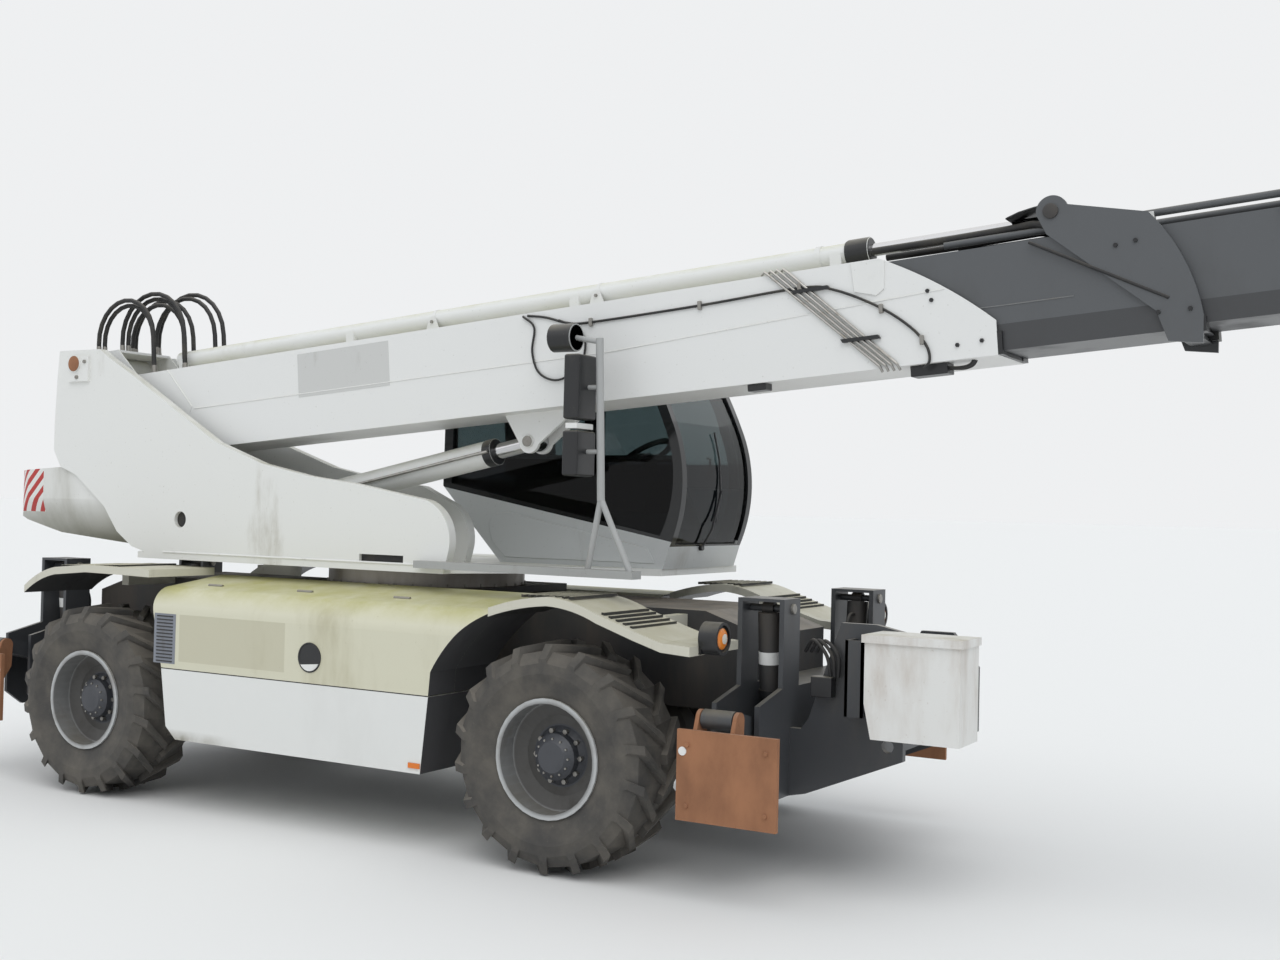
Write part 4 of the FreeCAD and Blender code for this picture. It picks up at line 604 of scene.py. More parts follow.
jack_top, jack_eye = Vector((2.605, 0.590, 1.340)), Vector((2.605, 0.540, 0.830))
white_plain = worn_paint("white_plain", (0.78, 0.78, 0.76), spread=0.4, size=6, depth=0.3)[0]
for corner, x, y in corners:
    end, side = math.copysign(1, x), math.copysign(1, y)

    def place_of(point):
        """A place given for the front left corner, mirrored to this one."""
        return Vector((point[0] * end, point[1] * side, point[2]))

    along = (place_of(jack_eye) - place_of(jack_top)).normalized()
    band = place_of(jack_top) + along * 0.215
    piece(f"jack_band_{corner}", f"jack_{corner}", white_plain,
          round_part(band, along, [(0, 0.0578), (0, 0.0595), (0.062, 0.0595), (0.062, 0.0578)]))
    gland = place_of(jack_top) + along * 0.44
    piece(f"jack_gland_{corner}", f"jack_{corner}", black_plastic,
          round_part(gland - along * 0.035, along, [(0, 0.0578), (0, 0.062), (0.035, 0.062), (0.037, 0.0262)]))
    pins = []
    for pin_y, pin_z, radius in ((0.59, 1.34, 0.026), (0.20, 0.60, 0.045)):
        for plate_x in (2.73, 2.48):
            outward = 1 if plate_x > 2.6 else -1
            pins.append(round_part(place_of((plate_x, pin_y, pin_z)), (outward * end, 0, 0),
                                   [(-0.001, radius), (0.010, radius), (0.013, radius - 0.004)], 20))
    piece(f"frame_pins_{corner}", "chassis", plated_steel, *pins)
    foot_bolts = [round_part(place_of((2.685 + dx, 1.2, z)), (0, side, 0), [(-0.001, 0.012), (0.009, 0.011)], 6)
                  for dx in (-0.2, 0.2) for z in (0.45, 0.73)]
    marker = round_part(place_of((2.46, 1.2, 0.70)), (0, side, 0), [(-0.001, 0.021), (0.004, 0.020)])
    piece(f"foot_bolts_{corner}", f"ground_foot_{corner}", rusty_steel, *foot_bolts)
    piece(f"foot_marker_{corner}", f"ground_foot_{corner}", white_plain, marker)
    hose_points = [place_of(point) for point in (
        (2.605, 0.548, 1.25), (2.605, 0.46, 1.24), (2.605, 0.40, 1.12), (2.605, 0.40, 1.03), (2.605, 0.42, 0.958))]
    piece(f"jack_hose_{corner}", "chassis", black_rubber, run_of(curve_through(hose_points), 0.010))


# Toolbox and nose. A sheet steel box with an overlapping lid stands on the right nose cheek, and an upright
# channel of pressed steel stands beside it. A valve box and its hoses are bolted to the cheek.

finish(worn_paint("toolbox_paint", (0.76, 0.755, 0.73), grime=(0.30, 0.19, 0.10), spread=0.75, size=3.5, depth=0.5,
                  settled_colour=(0.40, 0.37, 0.25))[0], "toolbox")
piece("nose_channel", "chassis", graphite_paint,
      bar((3.06, -0.72, 0.86), (3.075, -0.6, 1.22)), bar((3.06, -0.72, 0.86), (3.15, -0.708, 1.22)),
      bar((3.138, -0.72, 0.86), (3.15, -0.6, 1.22)))
piece("valve_box", "chassis", black_plastic, bar((2.86, -0.66, 0.93), (2.97, -0.6, 1.03)), edge=0.006)
nose_hoses = [run_of(curve_through([(2.80 + 0.03 * n, -0.585, 1.14), (2.86 + 0.03 * n, -0.625, 1.20),
                                    (2.93 + 0.03 * n, -0.63, 1.13), (2.95 + 0.02 * n, -0.625, 1.03)]), 0.009)
              for n in range(3)]
piece("nose_hoses", "chassis", black_rubber, *nose_hoses)


# Lamps. The front ones are round with a wide black ring, an amber lens and a clear middle, and the rear ones
# are flat red blocks on the cross frame.

finish(black_plastic, "lamps")
lens_x, lens_side, lens_z = 2.573, 1.05, 1.215
rear_lens_side, rear_lens_half = 0.82, 0.08
clear_lens = worn_paint("clear_lens", (0.62, 0.6, 0.54), spread=0.4, size=16, rough=0.12, run=1.0, bump=0.05)[0]
amber_lens = worn_paint("amber_lens", (0.72, 0.22, 0.03), spread=0.2, size=16, rough=0.15, run=1.0)[0]
red_lens = worn_paint("red_lens", (0.42, 0.02, 0.02), spread=0.3, size=9, rough=0.2, run=1.0)[0]
for side, sign in (("right", -1), ("left", 1)):
    y, rear_y = sign * lens_side, sign * rear_lens_side
    dome = [(0.001, 0.050), (0.006, 0.050), (0.012, 0.043), (0.016, 0.030), (0.018, 0.012)]
    piece(f"front_lens_{side}", "chassis", amber_lens, round_part((lens_x, y, lens_z), (1, 0, 0), dome))
    piece(f"inner_lens_{side}", "chassis", clear_lens,
          round_part((lens_x + 0.0185, y, lens_z), (1, 0, 0), [(-0.012, 0.024), (0.001, 0.024), (0.003, 0.016)]))
    piece(f"rear_lens_{side}", "chassis", red_lens,
          bar((-2.781, rear_y - rear_lens_half, 0.788), (-2.774, rear_y + rear_lens_half, 0.852)))


# Slewing ring. A bare steel bearing between the chassis and the turret. It is bolted down through its outer
# ring, whose hexagon heads stand in a circle.

finish(worn_paint("ring_steel", (0.3, 0.28, 0.26), metal=0.7, rough=0.45, spread=0.8, size=5, depth=0.4)[0],
       "slew_ring")
piece("slew_ring_bolts", "chassis", plated_steel, grown(
    bolt_circle, facing_out((0, 0, 1.338), (0, 0, 1)), count=36, radius=0.6, head=0.010, height=0.02,
    material=plated_steel))


# Turret. Two thick steel plates are welded on a base plate that turns on the slewing ring. A keeper plate with
# two bolts holds the rusty end of the boom's pivot pin.

finish(white_paint, "turret_frame")
plate_face = -0.780
hinge = Vector((-2.3228, 0, 2.6737))
piece("pivot_pin_end", "turret", rusty_steel, round_part(
    (hinge.x, plate_face - 0.0295, hinge.z), (0, -1, 0), [(0, 0.0505), (0.003, 0.0505), (0.006, 0.042)]))
piece("keeper_bolts", "turret", plated_steel, *[
    round_part((hinge.x + dx, plate_face - 0.0175, hinge.z + dz), (0, -1, 0), [(0, 0.013), (0.011, 0.012)], 6)
    for dx, dz in ((0.092, 0.012), (0.02, -0.088))])
# painted shadow: a black sheet inside the slot in the turret's side plate stands for the shade in the slot
piece("slot_flap", "turret", black_rubber, bar((0.116, -0.757, 1.4725), (0.444, -0.751, 1.5235)))
# painted shadow: a black disc inside the access hole in the side plate stands for the shade in the hole
piece("hole_plug", "turret", black_rubber,
      round_part((-1.33, -0.750, 1.68), (0, -1, 0), [(0, 0.0495), (0.006, 0.0495)]))
piece("turret_welds", "turret", white_plain,
      run_of([(-1.47, plate_face + 0.001, 1.474), (0.71, plate_face + 0.001, 1.474)], 0.007, 8),
      run_of([(-1.46, -0.721, 1.474), (0.70, -0.721, 1.474)], 0.008, 8),
      run_of([(-1.46, -0.099, 1.474), (0.38, -0.099, 1.474)], 0.008, 8))
piece("turret_pins", "turret", plated_steel, *[
    round_part((-1.36, y, 1.66), (0, outward, 0), [(0, 0.038), (0.006, 0.038), (0.009, 0.032)], 20)
    for y, outward in ((-0.5235, -1), (-0.3565, 1))])


# Counterweight. One iron casting, rounded at its rear corners, painted like the turret, with moss and painted
# shade darkening the faces that look down, and red and white warning stripes at the corners.

weight_middle, stripes_per_metre = 0.15, 10.5
stripe_low, stripe_high, stripe_front, stripe_inner = 1.70, 1.985, -2.65, 0.6
weight_paint, weight_tree, weight_shader, weight_colour = worn_paint(
    "weight_paint", (0.77, 0.77, 0.745), grime=(0.20, 0.18, 0.11), settled_colour=(0.42, 0.40, 0.24),
    spread=0.75, size=1.6, depth=0.55)
weight_spot, (_, _, weight_nz) = place_and_facing(weight_tree)
# measured outward from the middle, so that the stripes of the two corners mirror each other
from_middle = calc(weight_tree, "ABSOLUTE", calc(weight_tree, "SUBTRACT", weight_spot[1], weight_middle))
phase = calc(weight_tree, "SUBTRACT", calc(weight_tree, "ADD", weight_spot[0], from_middle), weight_spot[2])
light_stripe = calc(weight_tree, "GREATER_THAN",
                    calc(weight_tree, "FRACT", calc(weight_tree, "MULTIPLY", phase, stripes_per_metre)), 0.5)
stripe_zone = calc(weight_tree, "MULTIPLY", within(weight_tree, weight_spot[2], stripe_low, stripe_high),
                   calc(weight_tree, "MULTIPLY", calc(weight_tree, "LESS_THAN", weight_spot[0], stripe_front),
                        calc(weight_tree, "GREATER_THAN", from_middle, stripe_inner)))
warning = tint(weight_tree, light_stripe, (0.45, 0.035, 0.03), (0.75, 0.75, 0.72))
# moss and painted shade: faces that look down are painted dark olive
moss_and_shade = add(weight_tree, "ShaderNodeMapRange", From_Min=-0.2, From_Max=-0.8, To_Max=0.85)
join(weight_tree, weight_nz, (moss_and_shade, "Value"))
weight_tone = tint(weight_tree, (moss_and_shade, 0), weight_colour, (0.12, 0.115, 0.05))
join(weight_tree, tint(weight_tree, stripe_zone, weight_tone, warning), (weight_shader, "Base Color"))
finish(weight_paint, "counterweight")


# Cab. A hollow welded cab whose upper part is black, like its dark glass, above a line that falls to the
# front, and whose skirt is off-white. The door swings at its rear edge.

cab_paint, cab_tree, cab_shader, cab_colour = worn_paint(
    "cab_paint", (0.62, 0.635, 0.635), grime=(0.22, 0.2, 0.15), spread=0.45, rough=0.3)
(cab_x, _, cab_z), (cab_nx, _, _) = place_and_facing(cab_tree)
line_height, line_fall, front_line = 1.925, 0.18, 1.60
above_line = calc(cab_tree, "GREATER_THAN", calc(cab_tree, "MULTIPLY_ADD", cab_x, line_fall, cab_z), line_height)
front_black = calc(cab_tree, "MULTIPLY", calc(cab_tree, "GREATER_THAN", cab_nx, 0.5),
                   calc(cab_tree, "GREATER_THAN", cab_z, front_line))
black_zone = calc(cab_tree, "MAXIMUM", above_line, front_black)
join(cab_tree, tint(cab_tree, black_zone, cab_colour, (0.008, 0.009, 0.010)), (cab_shader, "Base Color"))
join(cab_tree, calc(cab_tree, "MULTIPLY_ADD", black_zone, -0.28, 0.38), (cab_shader, "Roughness"))
finish(cab_paint, "cab_frame")
finish(black_plastic, "cab_door", "controls")

# below this height the glass is near-black, except where it faces forward
film_top = 2.10
dark_glass = bpy.data.materials.new("dark_glass")
dark_glass.use_nodes = True
glass_tree = dark_glass.node_tree
glass_shader = glass_tree.nodes["Principled BSDF"]
(_, _, glass_z), (glass_nx, _, _) = place_and_facing(glass_tree)
in_film = calc(glass_tree, "MULTIPLY", calc(glass_tree, "LESS_THAN", glass_z, film_top),
               calc(glass_tree, "LESS_THAN", glass_nx, 0.5))
join(glass_tree, tint(glass_tree, in_film, (0.20, 0.245, 0.25), (0.012, 0.014, 0.017)), (glass_shader, "Base Color"))
glass_shader.inputs["Roughness"].default_value = 0.0
glass_shader.inputs["IOR"].default_value = 1.25
glass_shader.inputs["Transmission Weight"].default_value = 1.0
finish(dark_glass, "cab_glass", "door_glass")

piece("cab_rail", "turret", black_plastic, bar((0.06, 0.167, 2.085), (1.645, 0.182, 2.125)))
skirt_panel = [(0.50, 1.50), (0.40, 1.60), (0.37, 1.70), (0.42, 1.765), (0.52, 1.775), (1.50, 1.59), (1.55, 1.50)]
piece("skirt_panel", "turret", cab_paint, plate([(x, 0.121, z) for x, z in skirt_panel], (0, -0.010, 0)), edge=0.006)
piece("wiper", "turret", black_plastic,
      run_of([(1.652, 0.50, 1.595), (1.70, 0.53, 1.70), (1.724, 0.60, 1.93)], 0.007),
      run_of([(1.690, 0.595, 1.74), (1.716, 0.60, 1.93), (1.700, 0.605, 2.12), (1.660, 0.61, 2.28)], 0.006),
      round_part((1.638, 0.50, 1.592), (1, 0, 0), [(0, 0.02), (0.02, 0.018)], 16))
piece("door_handle", "door", plated_steel,
      run_of([(1.40, 1.028, 2.02), (1.40, 1.062, 2.02), (1.40, 1.062, 2.14), (1.40, 1.028, 2.14)], 0.009))
piece("door_hinges", "door", black_plastic, *[
    round_part((0.563, 1.033, z), (0, 0, 1), [(0, 0.014), (0.09, 0.014)], 16) for z in (1.68, 2.25, 2.72)])


# Seat. A black steel pedestal stands on the cab's floor. It carries a padded cushion and a padded back, both
# covered in black woven cloth.

seat_cloth, seat_tree, seat_shader, _ = worn_paint(
    "seat_cloth", (0.03, 0.031, 0.034), spread=0.4, size=9, depth=0.5, rough=0.9, run=1.0)
seat_shader.inputs["Sheen Weight"].default_value = 0.3
seat_place = add(seat_tree, "ShaderNodeTexCoord")
weave = add(seat_tree, "ShaderNodeTexWave", Scale=260.0)
weave_relief = add(seat_tree, "ShaderNodeBump", Strength=0.25, Distance=0.001)
join(seat_tree, (seat_place, "Object"), (weave, "Vector"))
join(seat_tree, (weave, "Fac"), (weave_relief, "Height"))
join(seat_tree, (weave_relief, 0), (seat_shader, "Normal"))
finish(black_steel, "seat")

seat_middle, seat_half = 0.575, 0.25
pedestal = piece("seat_pedestal", "turret", black_steel, bar((0.57, 0.40, 1.5153), (0.79, 0.75, 1.80)),
                 bar((0.42, 0.36, 1.80), (0.84, 0.79, 1.885)), edge=0.006)
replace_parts(pedestal, "seat")
pads = (
    # name, outline forward and up
    ("seat_cushion", ((0.39, 1.895), (0.85, 1.895), (0.85, 1.985), (0.39, 1.985))),
    ("seat_back", ((0.325, 1.99), (0.425, 1.99), (0.345, 2.69), (0.28, 2.69))),
)
# how far the cloth may swell, and how much narrower a pad starts for it
swell, swell_room = 0.016, 0.012
for name, outline in pads:
    low_y, high_y = seat_middle - seat_half + swell_room, seat_middle + seat_half - swell_room
    start_shape = plate([(x, low_y, z) for x, z in outline], (0, high_y - low_y, 0))
    pad = bpy.data.objects.new(name, start_shape)
    bpy.context.scene.collection.objects.link(pad)
    start_shape.materials.clear()
    start_shape.materials.append(seat_cloth)
    remesh = pad.modifiers.new("remesh", "REMESH")
    remesh.mode = "VOXEL"
    remesh.voxel_size = 0.006
    even = bpy.data.meshes.new_from_object(pad.evaluated_get(bpy.context.evaluated_depsgraph_get()))
    pad.modifiers.clear()
    pad.data = even
    rest_points = [vertex.co.copy() for vertex in even.vertices]
    cloth = pad.modifiers.new("cloth", "CLOTH")
    cloth.settings.use_pressure = True
    cloth.settings.uniform_pressure_force = 4
    cloth.settings.effector_weights.gravity = 0
    cloth.point_cache.frame_end = 20
    for frame_number in range(1, 21):
        bpy.context.scene.frame_set(frame_number)
    puffed = bpy.data.meshes.new_from_object(pad.evaluated_get(bpy.context.evaluated_depsgraph_get()))
    pad.modifiers.clear()
    for vertex, rest in zip(puffed.vertices, rest_points):
        moved = vertex.co - rest
        if moved.length > swell:
            vertex.co = rest + moved * (swell / moved.length)
    pad.data = puffed
    pad.data.shade_smooth()
    softened = pad.modifiers.new("softened", "SUBSURF")
    softened.levels = softened.render_levels = 1
    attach(pad, "turret")
bpy.context.scene.frame_set(1)


# Mirror post. A grey painted tube on two legs. It carries two mirrors in black moulded housings, with a white
# band between them, and a black work lamp above them.

post_paint = worn_paint("post_paint", (0.38, 0.385, 0.38), spread=0.4, size=6, depth=0.3, rough=0.4)[0]
finish(post_paint, "mirror_post")
mirror_spans = ((1.98, 2.20), (2.27, 2.59))
housings = []
for low, high in mirror_spans:
    housings.append(bar((1.589, -0.951, low - 0.006), (1.681, -0.769, high + 0.006)))
piece("mirror_housings", "turret", black_plastic, *housings, edge=0.012)
mirror_glass = worn_paint("mirror_glass", (0.6, 0.62, 0.63), metal=1.0, rough=0.03, spread=0.15, size=8, depth=0.1,
                          bump=0.0)[0]
piece("mirror_faces", "turret", mirror_glass, *[
    bar((1.5865, -0.932, low + 0.012), (1.590, -0.788, high - 0.012)) for low, high in mirror_spans])
work_lamp_y, work_lamp_z = -0.85, 2.69
piece("work_lamp", "turret", black_plastic, round_part(
    (1.600, work_lamp_y, work_lamp_z), (-1, 0, 0),
    [(0, 0.066), (0.004, 0.0735), (0.137, 0.0735), (0.137, 0.062), (0.131, 0.060)]))
piece("work_lens", "turret", clear_lens, round_part(
    (1.470, work_lamp_y, work_lamp_z), (-1, 0, 0), [(0, 0.061), (0.003, 0.061), (0.008, 0.04)]))
piece("mirror_band", "turret", white_plain, bar((1.60, -0.94, 2.215), (1.67, -0.78, 2.245)), edge=0.004)


# Boom base. A long box of bent and welded sheet in off-white paint, with a raised tail. Weld seams run along
# it, thin steel pipes and a cable are clipped to its side, and black pads guide the next section at its mouth.

boom_angle = math.radians(4.8)
boom_datum = Vector((-2.12, -0.44, 2.47))
boom_ahead = Vector((math.cos(boom_angle), 0, math.sin(boom_angle)))
boom_up = Vector((-math.sin(boom_angle), 0, math.cos(boom_angle)))
boom_side = 0.215


def on_boom(along, height, across=0.0):
    """A point given along the boom, above its datum and across it."""
    return boom_datum + boom_ahead * along + boom_up * height + Vector((0, across, 0))


def boom_bar(along, height, across):
    """A block on the boom; each size is a (low, high) pair."""
    corners = [on_boom(u, height[0], across[0]) for u in along] + [on_boom(u, height[1], across[0])
                                                                  for u in reversed(along)]
    return plate(corners, (0, across[1] - across[0], 0))


def boom_bolts(places, across, side, radius=0.011):
    """Bolt heads on a flank of the boom, at (along, height) places."""
    return [round_part(on_boom(u, w, across), (0, side, 0), [(-0.001, radius), (0.008, radius * 0.92)], 6)
            for u, w in places]


boom_paint = worn_paint("boom_paint", (0.79, 0.79, 0.775), grime=(0.24, 0.215, 0.16), settled_colour=growth,
                        spread=0.4, size=1.5, depth=0.45, run=0.6)[0]
finish(boom_paint, "boom_base")
seams = []
for side in (-1, 1):
    face = side * (boom_side + 0.0005)
    for seam in (((0.51, 0.115), (0.72, -0.14), (0.67, -0.23)), ((0.74, -0.155), (3.8, -0.155), (5.62, -0.075))):
        seams.append(run_of([on_boom(u, w, face) for u, w in seam], 0.0035, 8))
piece("boom_seams", "boom", boom_paint, *seams)
blank_plate = worn_paint("blank_plate", (0.60, 0.60, 0.585), spread=0.5, size=5, depth=0.2, rough=0.55)[0]
piece("side_plates", "boom", blank_plate, *[
    boom_bar((1.62, 2.32), (-0.175, 0.085), sorted((side * boom_side, side * (boom_side + 0.0015))))
    for side in (-1, 1)])
steel_pipe = worn_paint("steel_pipe", (0.42, 0.41, 0.39), metal=0.9, rough=0.3, spread=0.6, size=20, run=1.0)[0]
pipes = []
for number in range(4):
    start_u, end_u = 4.72 + number * 0.034, 5.287 + number * 0.029
    face = -boom_side - 0.010
    bend_points = [on_boom(start_u - 0.03, 0.123, face + 0.03), on_boom(start_u, 0.13, face),
                   on_boom(start_u + 0.03, 0.105, face), on_boom(end_u, -0.40, face),
                   on_boom(end_u + 0.006, -0.425, face + 0.02)]
    pipes.append(run_of(bend_points, 0.0065, 10))
piece("side_pipes", "boom", steel_pipe, *pipes)
piece("pipe_clamps", "boom", black_plastic,
      plate([on_boom(4.86, 0.02, -boom_side), on_boom(5.05, 0.02, -boom_side), on_boom(5.06, 0.002, -boom_side),
             on_boom(4.87, 0.002, -boom_side)], (0, -0.019, 0)),
      plate([on_boom(5.10, -0.25, -boom_side), on_boom(5.29, -0.25, -boom_side), on_boom(5.30, -0.268, -boom_side),
             on_boom(5.11, -0.268, -boom_side)], (0, -0.019, 0)))
cable = curve_through([on_boom(u, w, -boom_side - 0.007) for u, w in (
    (3.30, 0.10), (3.42, 0.075), (3.55, 0.03), (3.70, 0.014), (4.35, 0.016), (4.90, 0.028), (5.08, -0.006),
    (5.30, -0.118), (5.45, -0.235), (5.52, -0.33), (5.53, -0.40), (5.50, -0.435))])
loop = curve_through([on_boom(u, w, -boom_side - 0.009) for u, w in (
    (3.27, 0.10), (3.34, 0.03), (3.32, -0.10), (3.36, -0.22), (3.48, -0.27), (3.62, -0.21), (3.66, -0.08),
    (3.60, 0.0), (3.50, 0.05))])
piece("side_cable", "boom", black_rubber, run_of(cable, 0.0065), run_of(loop, 0.006))
piece("cable_clips", "boom", plated_steel, *[
    boom_bar((u - 0.010, u + 0.010), (w - 0.022, w + 0.022), (-boom_side - 0.017, -boom_side))
    for u, w in ((3.70, 0.014), (4.35, 0.016), (4.90, 0.028), (5.31, -0.128), (5.50, -0.30))], edge=0.003)
piece("mouth_bolts", "boom", black_plastic, *[
    bolt for side in (-1, 1) for bolt in boom_bolts(
        ((5.539, -0.074), (5.555, -0.119), (5.665, -0.343), (5.780, -0.336)), side * boom_side, side)])
piece("mouth_pads", "boom", black_plastic, *[
    boom_bar((5.846, 5.872), (-0.408, -0.30), sorted((side * 0.128, side * 0.2145))) for side in (-1, 1)],
    boom_bar((5.846, 5.868), (-0.409, -0.392), (-0.128, 0.128)))
piece("valve_block", "boom", black_plastic, boom_bar((5.42, 5.60), (-0.462, -0.4095), (-0.18, -0.08)),
      boom_bar((4.58, 4.68), (-0.445, -0.4095), (-0.2, -0.12)), edge=0.004)
valve_hoses = []
for number in range(3):
    port, rise = -0.16 + 0.025 * number, -0.15 + 0.02 * number
    valve_hoses.append(run_of(curve_through([
        on_boom(5.60, -0.435, port), on_boom(5.66, -0.44, port), on_boom(5.70, -0.43, rise),
        on_boom(5.72, -0.405, rise)]), 0.007))
piece("valve_hoses", "boom", black_rubber, *valve_hoses)
piece("hinge_caps", "boom", boom_paint, *[
    round_part(on_boom(-0.185, 0.220, side * 0.214), (0, side, 0), [(0, 0.105), (0.010, 0.105), (0.014, 0.098)])
    for side in (-1, 1)])


# Extension cylinder. A white steel tube along the boom's top, held by two bolted straps and a bracket at its
# front. A thicker black head closes it round the chromed rod.

finish(boom_paint, "extension_cylinder")
finish(chromed_rod, "extension_rod")
tube_height = 0.205
strap_places = (2.531, 3.648)


def tube_ring(start, end, radius, wall=0.004):
    """A ring round the extension cylinder's tube."""
    return round_part(on_boom(start, tube_height), boom_ahead, [
        (0, radius - wall), (0, radius), (end - start, radius), (end - start, radius - wall)])


piece("cylinder_head", "boom", black_plastic, round_part(on_boom(5.078, tube_height), boom_ahead, [
    (0, 0.0545), (0, 0.0625), (0.012, 0.0675), (0.118, 0.0675), (0.126, 0.060), (0.126, 0.0365)]))
ears = []
for u in strap_places:
    ears.append(plate([on_boom(u + du, w, -0.062) for du, w in (
        (-0.055, 0.114), (0.055, 0.114), (0.022, 0.205), (0, 0.215), (-0.022, 0.205))], (0, -0.008, 0)))
piece("tube_straps", "boom", white_plain, tube_ring(4.915, 4.945, 0.0600, 0.006),
      *[tube_ring(u - 0.010, u + 0.010, 0.0580) for u in strap_places], *ears)
piece("strap_bolts", "boom", plated_steel, *[
    round_part(on_boom(u, 0.185, -0.069), (0, -1, 0), [(0, 0.010), (0.012, 0.009)], 6) for u in strap_places])
piece("head_bracket", "boom", white_plain, plate([
    on_boom(5.17, 0.112, -boom_side), on_boom(5.34, 0.100, -boom_side), on_boom(5.33, -0.035, -boom_side),
    on_boom(5.29, -0.062, -boom_side), on_boom(5.18, -0.03, -boom_side)], (0, -0.008, 0)), edge=0.002)


# Boom sections. Three dark grey boxes, each sliding in the one before, with welded collars whose bolts hold
# the guide pads. Two black hoses run beside the rod to the first collar, under a curved guard.

section_paint, section_tree, section_shader, section_colour = worn_paint(
    "section_paint", (0.095, 0.10, 0.106), grime=(0.05, 0.047, 0.043), spread=0.75, size=1.8,
    settled_colour=(0.2, 0.18, 0.14), depth=0.5, rough=0.36, run=0.5)
(section_x, section_y, section_z), _ = place_and_facing(section_tree)
# painted shade darkens the tubes below this height, standing for the shade where their sides fold to face down,
# and these two sides keep it off the collars' plates
shade_top, shade_sides = -0.27, (-0.6365, -0.2435)
slope = math.tan(boom_angle)
above_datum = calc(section_tree, "SUBTRACT", section_z, calc(section_tree, "MULTIPLY_ADD", section_x, slope,
                                                            boom_datum.z - boom_datum.x * slope))
folded_shade = calc(section_tree, "MULTIPLY", calc(section_tree, "LESS_THAN", above_datum, shade_top),
              within(section_tree, section_y, *shade_sides))
join(section_tree, tint(section_tree, calc(section_tree, "MULTIPLY", folded_shade, 0.65), section_colour,
                        (0.03, 0.03, 0.032)), (section_shader, "Base Color"))
finish(section_paint, "boom_section_2", "boom_section_3", "boom_section_4")
collar_pitch, section_step, collar_plate = 1.040, 0.020, 0.018
for number, body in ((1, "section_2"), (2, "section_3")):
    offset, half_width = (number - 1) * collar_pitch, boom_side - number * section_step + collar_plate
    places = [(u + offset, w) for u, w in ((6.395, 0.009), (6.48, 0.018), (6.553, -0.307), (6.684, -0.307))]
    bolts = [bolt for side in (-1, 1) for bolt in boom_bolts(places, side * half_width, side)]
    eye_caps = [round_part(on_boom(6.126 + offset, tube_height, side * half_width), (0, side, 0),
                           [(-0.001, 0.034), (0.009, 0.034), (0.012, 0.028)]) for side in (-1, 1)]
    piece(f"collar_bolts_{number}", body, black_plastic, *bolts)
    piece(f"collar_eyes_{number}", body, black_steel, *eye_caps)
    # painted shadow: a black line along the slanting edge of each collar's cheek plate stands for the shadow under
    # that edge
    shadow_line = [run_of([on_boom(6.02 + offset, 0.08, side * (half_width + 0.0005)),
                         on_boom(6.60 + offset, -0.25, side * (half_width + 0.0005))], 0.007, 8)
                 for side in (-1, 1)]
    piece(f"collar_gap_{number}", body, black_rubber, *shadow_line)
    pads = [boom_bar((6.69 + offset, 6.742 + offset), (-0.43 + number * section_step, -0.345), sorted(
        (side * 0.13, side * (half_width - 0.003)))) for side in (-1, 1)]
    piece(f"collar_pads_{number}", body, black_plastic, *pads)
rod_hoses = [run_of(curve_through([
    on_boom(5.24, 0.178, side * 0.095), on_boom(5.6, 0.176, side * 0.095), on_boom(5.92, 0.18, side * 0.095),
    on_boom(6.02, 0.18, side * 0.11), on_boom(6.10, 0.145, side * 0.12), on_boom(6.13, 0.10, side * 0.12)]), 0.017)
    for side in (-1, 1)]
piece("rod_hoses", "section_2", black_rubber, *rod_hoses)
guard_arc = [(5.90, 0.226), (5.96, 0.245), (6.03, 0.256), (6.10, 0.262), (6.16, 0.262)]
piece("hose_guard", "section_2", black_plastic, plate(
    [on_boom(u, w, -0.13) for u, w in guard_arc] + [on_boom(u, w - 0.006, -0.13) for u, w in reversed(guard_arc)],
    (0, 0.26, 0)))
piece("rod_clip", "section_2", white_plain, boom_bar((6.42, 6.55), (0.095, 0.150), (-0.135, -0.085)), edge=0.003)
section_seams = [run_of([on_boom(u, -0.185, side * 0.1955) for u in (1.2, 6.2)], 0.003, 8) for side in (-1, 1)]
worn_seam = worn_paint("worn_seam", (0.16, 0.165, 0.17), spread=0.6, size=6, rough=0.5)[0]
piece("section_seams", "section_2", worn_seam, *section_seams)


# Tail hoses. Eight rubber hoses in pairs loop from the raised tail down to the boom's top, with crimped
# steel fittings at both ends.

hose_places = (
    # across the boom; each loop starts 70 mm and ends 100 mm ahead of the one before
    -0.160, 0.085, -0.085, 0.160,
)
smooth_hoses, fittings = [], []
for number, across in enumerate(hose_places):
    for twin in (0, 1):
        rear, front = -0.190 + 0.070 * number + 0.014 * twin, 0.330 + 0.100 * number - 0.042 * twin
        beside = across + 0.036 * twin * math.copysign(1, -across)
        middle, reach = (rear + front) / 2, (front - rear) / 2
        route = [on_boom(front, 0.115, beside), on_boom(front, 0.25, beside)]
        for degrees in range(0, 181, 15):
            turn = math.radians(degrees)
            route.append(on_boom(middle + reach * math.cos(turn), 0.370 + reach * math.sin(turn), beside))
        route += [on_boom(rear, 0.300, beside)]
        smooth_hoses.append(run_of(route, 0.0145, 14))
        for u, w in ((front, 0.115), (rear, 0.299)):
            fittings.append(round_part(on_boom(u, w, beside), boom_up, [
                (0, 0.0175), (0.018, 0.0175), (0.018, 0.016), (0.052, 0.016), (0.056, 0.0155)], 12))
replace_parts(piece("tail_hoses", "boom", black_rubber, *smooth_hoses), "hoses")
piece("hose_fittings", "boom", plated_steel, *fittings)


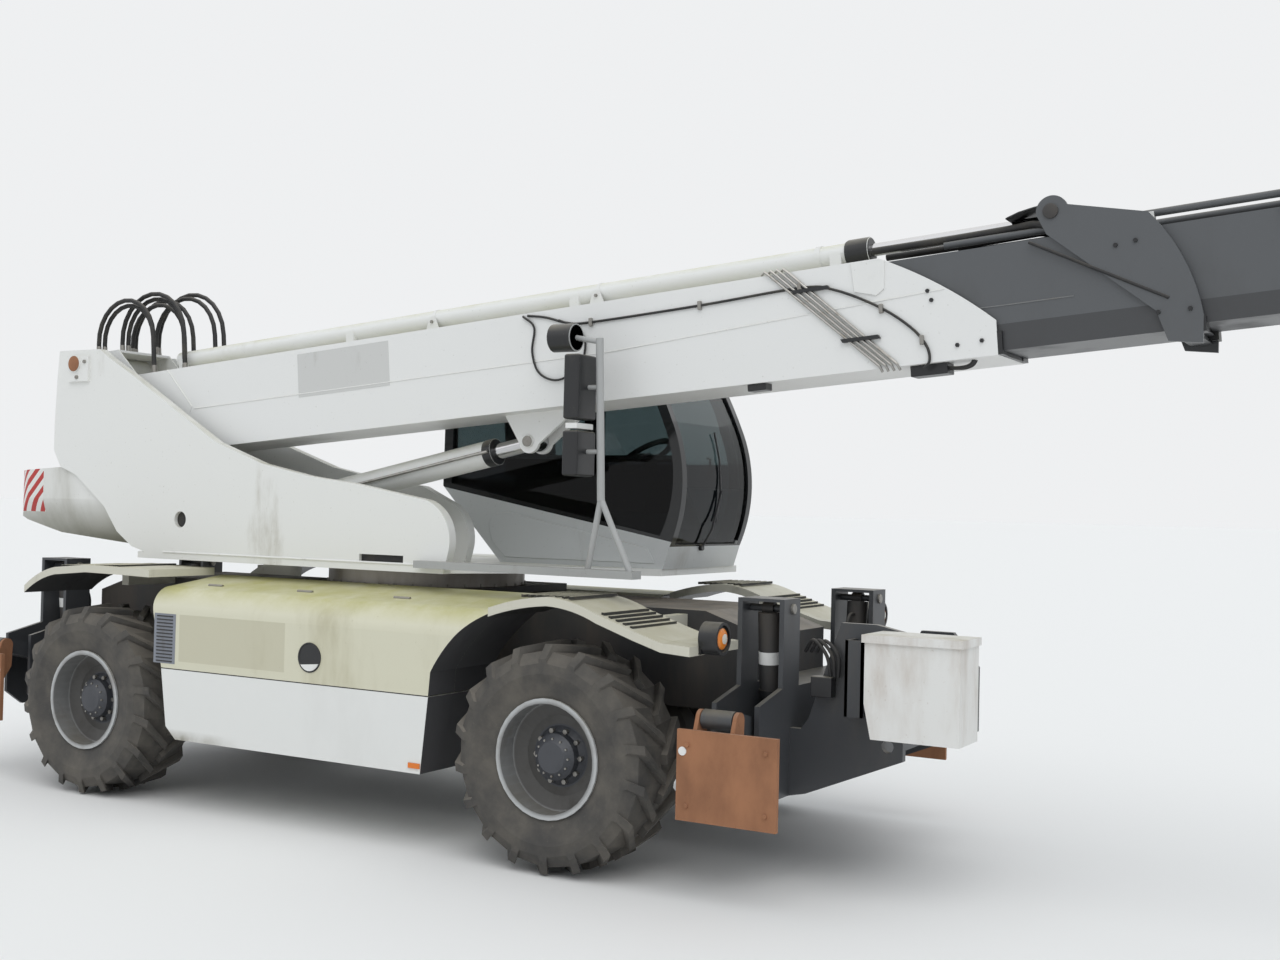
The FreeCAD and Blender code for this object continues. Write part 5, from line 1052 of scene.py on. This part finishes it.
# Lift cylinder. A white steel barrel with a black gland and a steel pipe along it, pinned to the turret. The
# eye of its chromed rod works on a capped pin under the boom.

finish(white_paint, "lift_barrel")
finish(chromed_rod, "lift_rod")
lift_base, lift_eye = Vector((-1.36, -0.44, 1.66)), on_boom(3.170, -0.565)
lift_line = (lift_eye - lift_base).normalized()
barrel_end = lift_eye - lift_line * 0.270
piece("lift_gland", "lift_cylinder", black_plastic, round_part(barrel_end - lift_line * 0.055, lift_line, [
    (0, 0.0758), (0, 0.0785), (0.052, 0.0785), (0.058, 0.072), (0.058, 0.0453)]))
piece("lift_pipe", "lift_cylinder", steel_pipe, run_of(curve_through([
    lift_base + lift_line * 0.20 + Vector((0, -0.080, 0)), lift_base + lift_line * 0.26 + Vector((0, -0.088, 0.0)),
    barrel_end - lift_line * 0.16 + Vector((0, -0.088, 0)), barrel_end - lift_line * 0.09 + Vector((0, -0.076, 0))]),
    0.009))
piece("lift_pin_caps", "boom", plated_steel, *[
    round_part(lift_eye + Vector((0, side * 0.0875, 0)), (0, side, 0), [(0, 0.030), (0.007, 0.030), (0.010, 0.024)])
    for side in (-1, 1)])


# Fork carriage and forks. A welded steel frame that tilts on the head's pin. Two forged forks hang on it by
# hooks over its top.

finish(graphite_paint, "fork_carriage")
finish(worn_paint("fork_steel", (0.05, 0.047, 0.045), grime=(0.16, 0.09, 0.055), spread=0.9, size=5, rough=0.5,
                  metal=0.5)[0], "forks")
_, carriage_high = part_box("fork_carriage")
hooks = []
for y in (-0.74, -0.14):
    hooks.append(bar((carriage_high.x - 0.055, y - 0.055, carriage_high.z),
                     (carriage_high.x + 0.012, y + 0.055, carriage_high.z + 0.028)))
piece("fork_hooks", "carriage", black_steel, *hooks, edge=0.005)
head_pin = on_boom(8.650, -0.640)
piece("head_pin_caps", "section_4", plated_steel, *[
    round_part(head_pin + Vector((0, side * 0.1915, 0)), (0, side, 0),
               [(-0.001, 0.036), (0.006, 0.036), (0.010, 0.03)]) for side in (-1, 1)])


bpy.context.scene.view_settings.view_transform = "Standard"
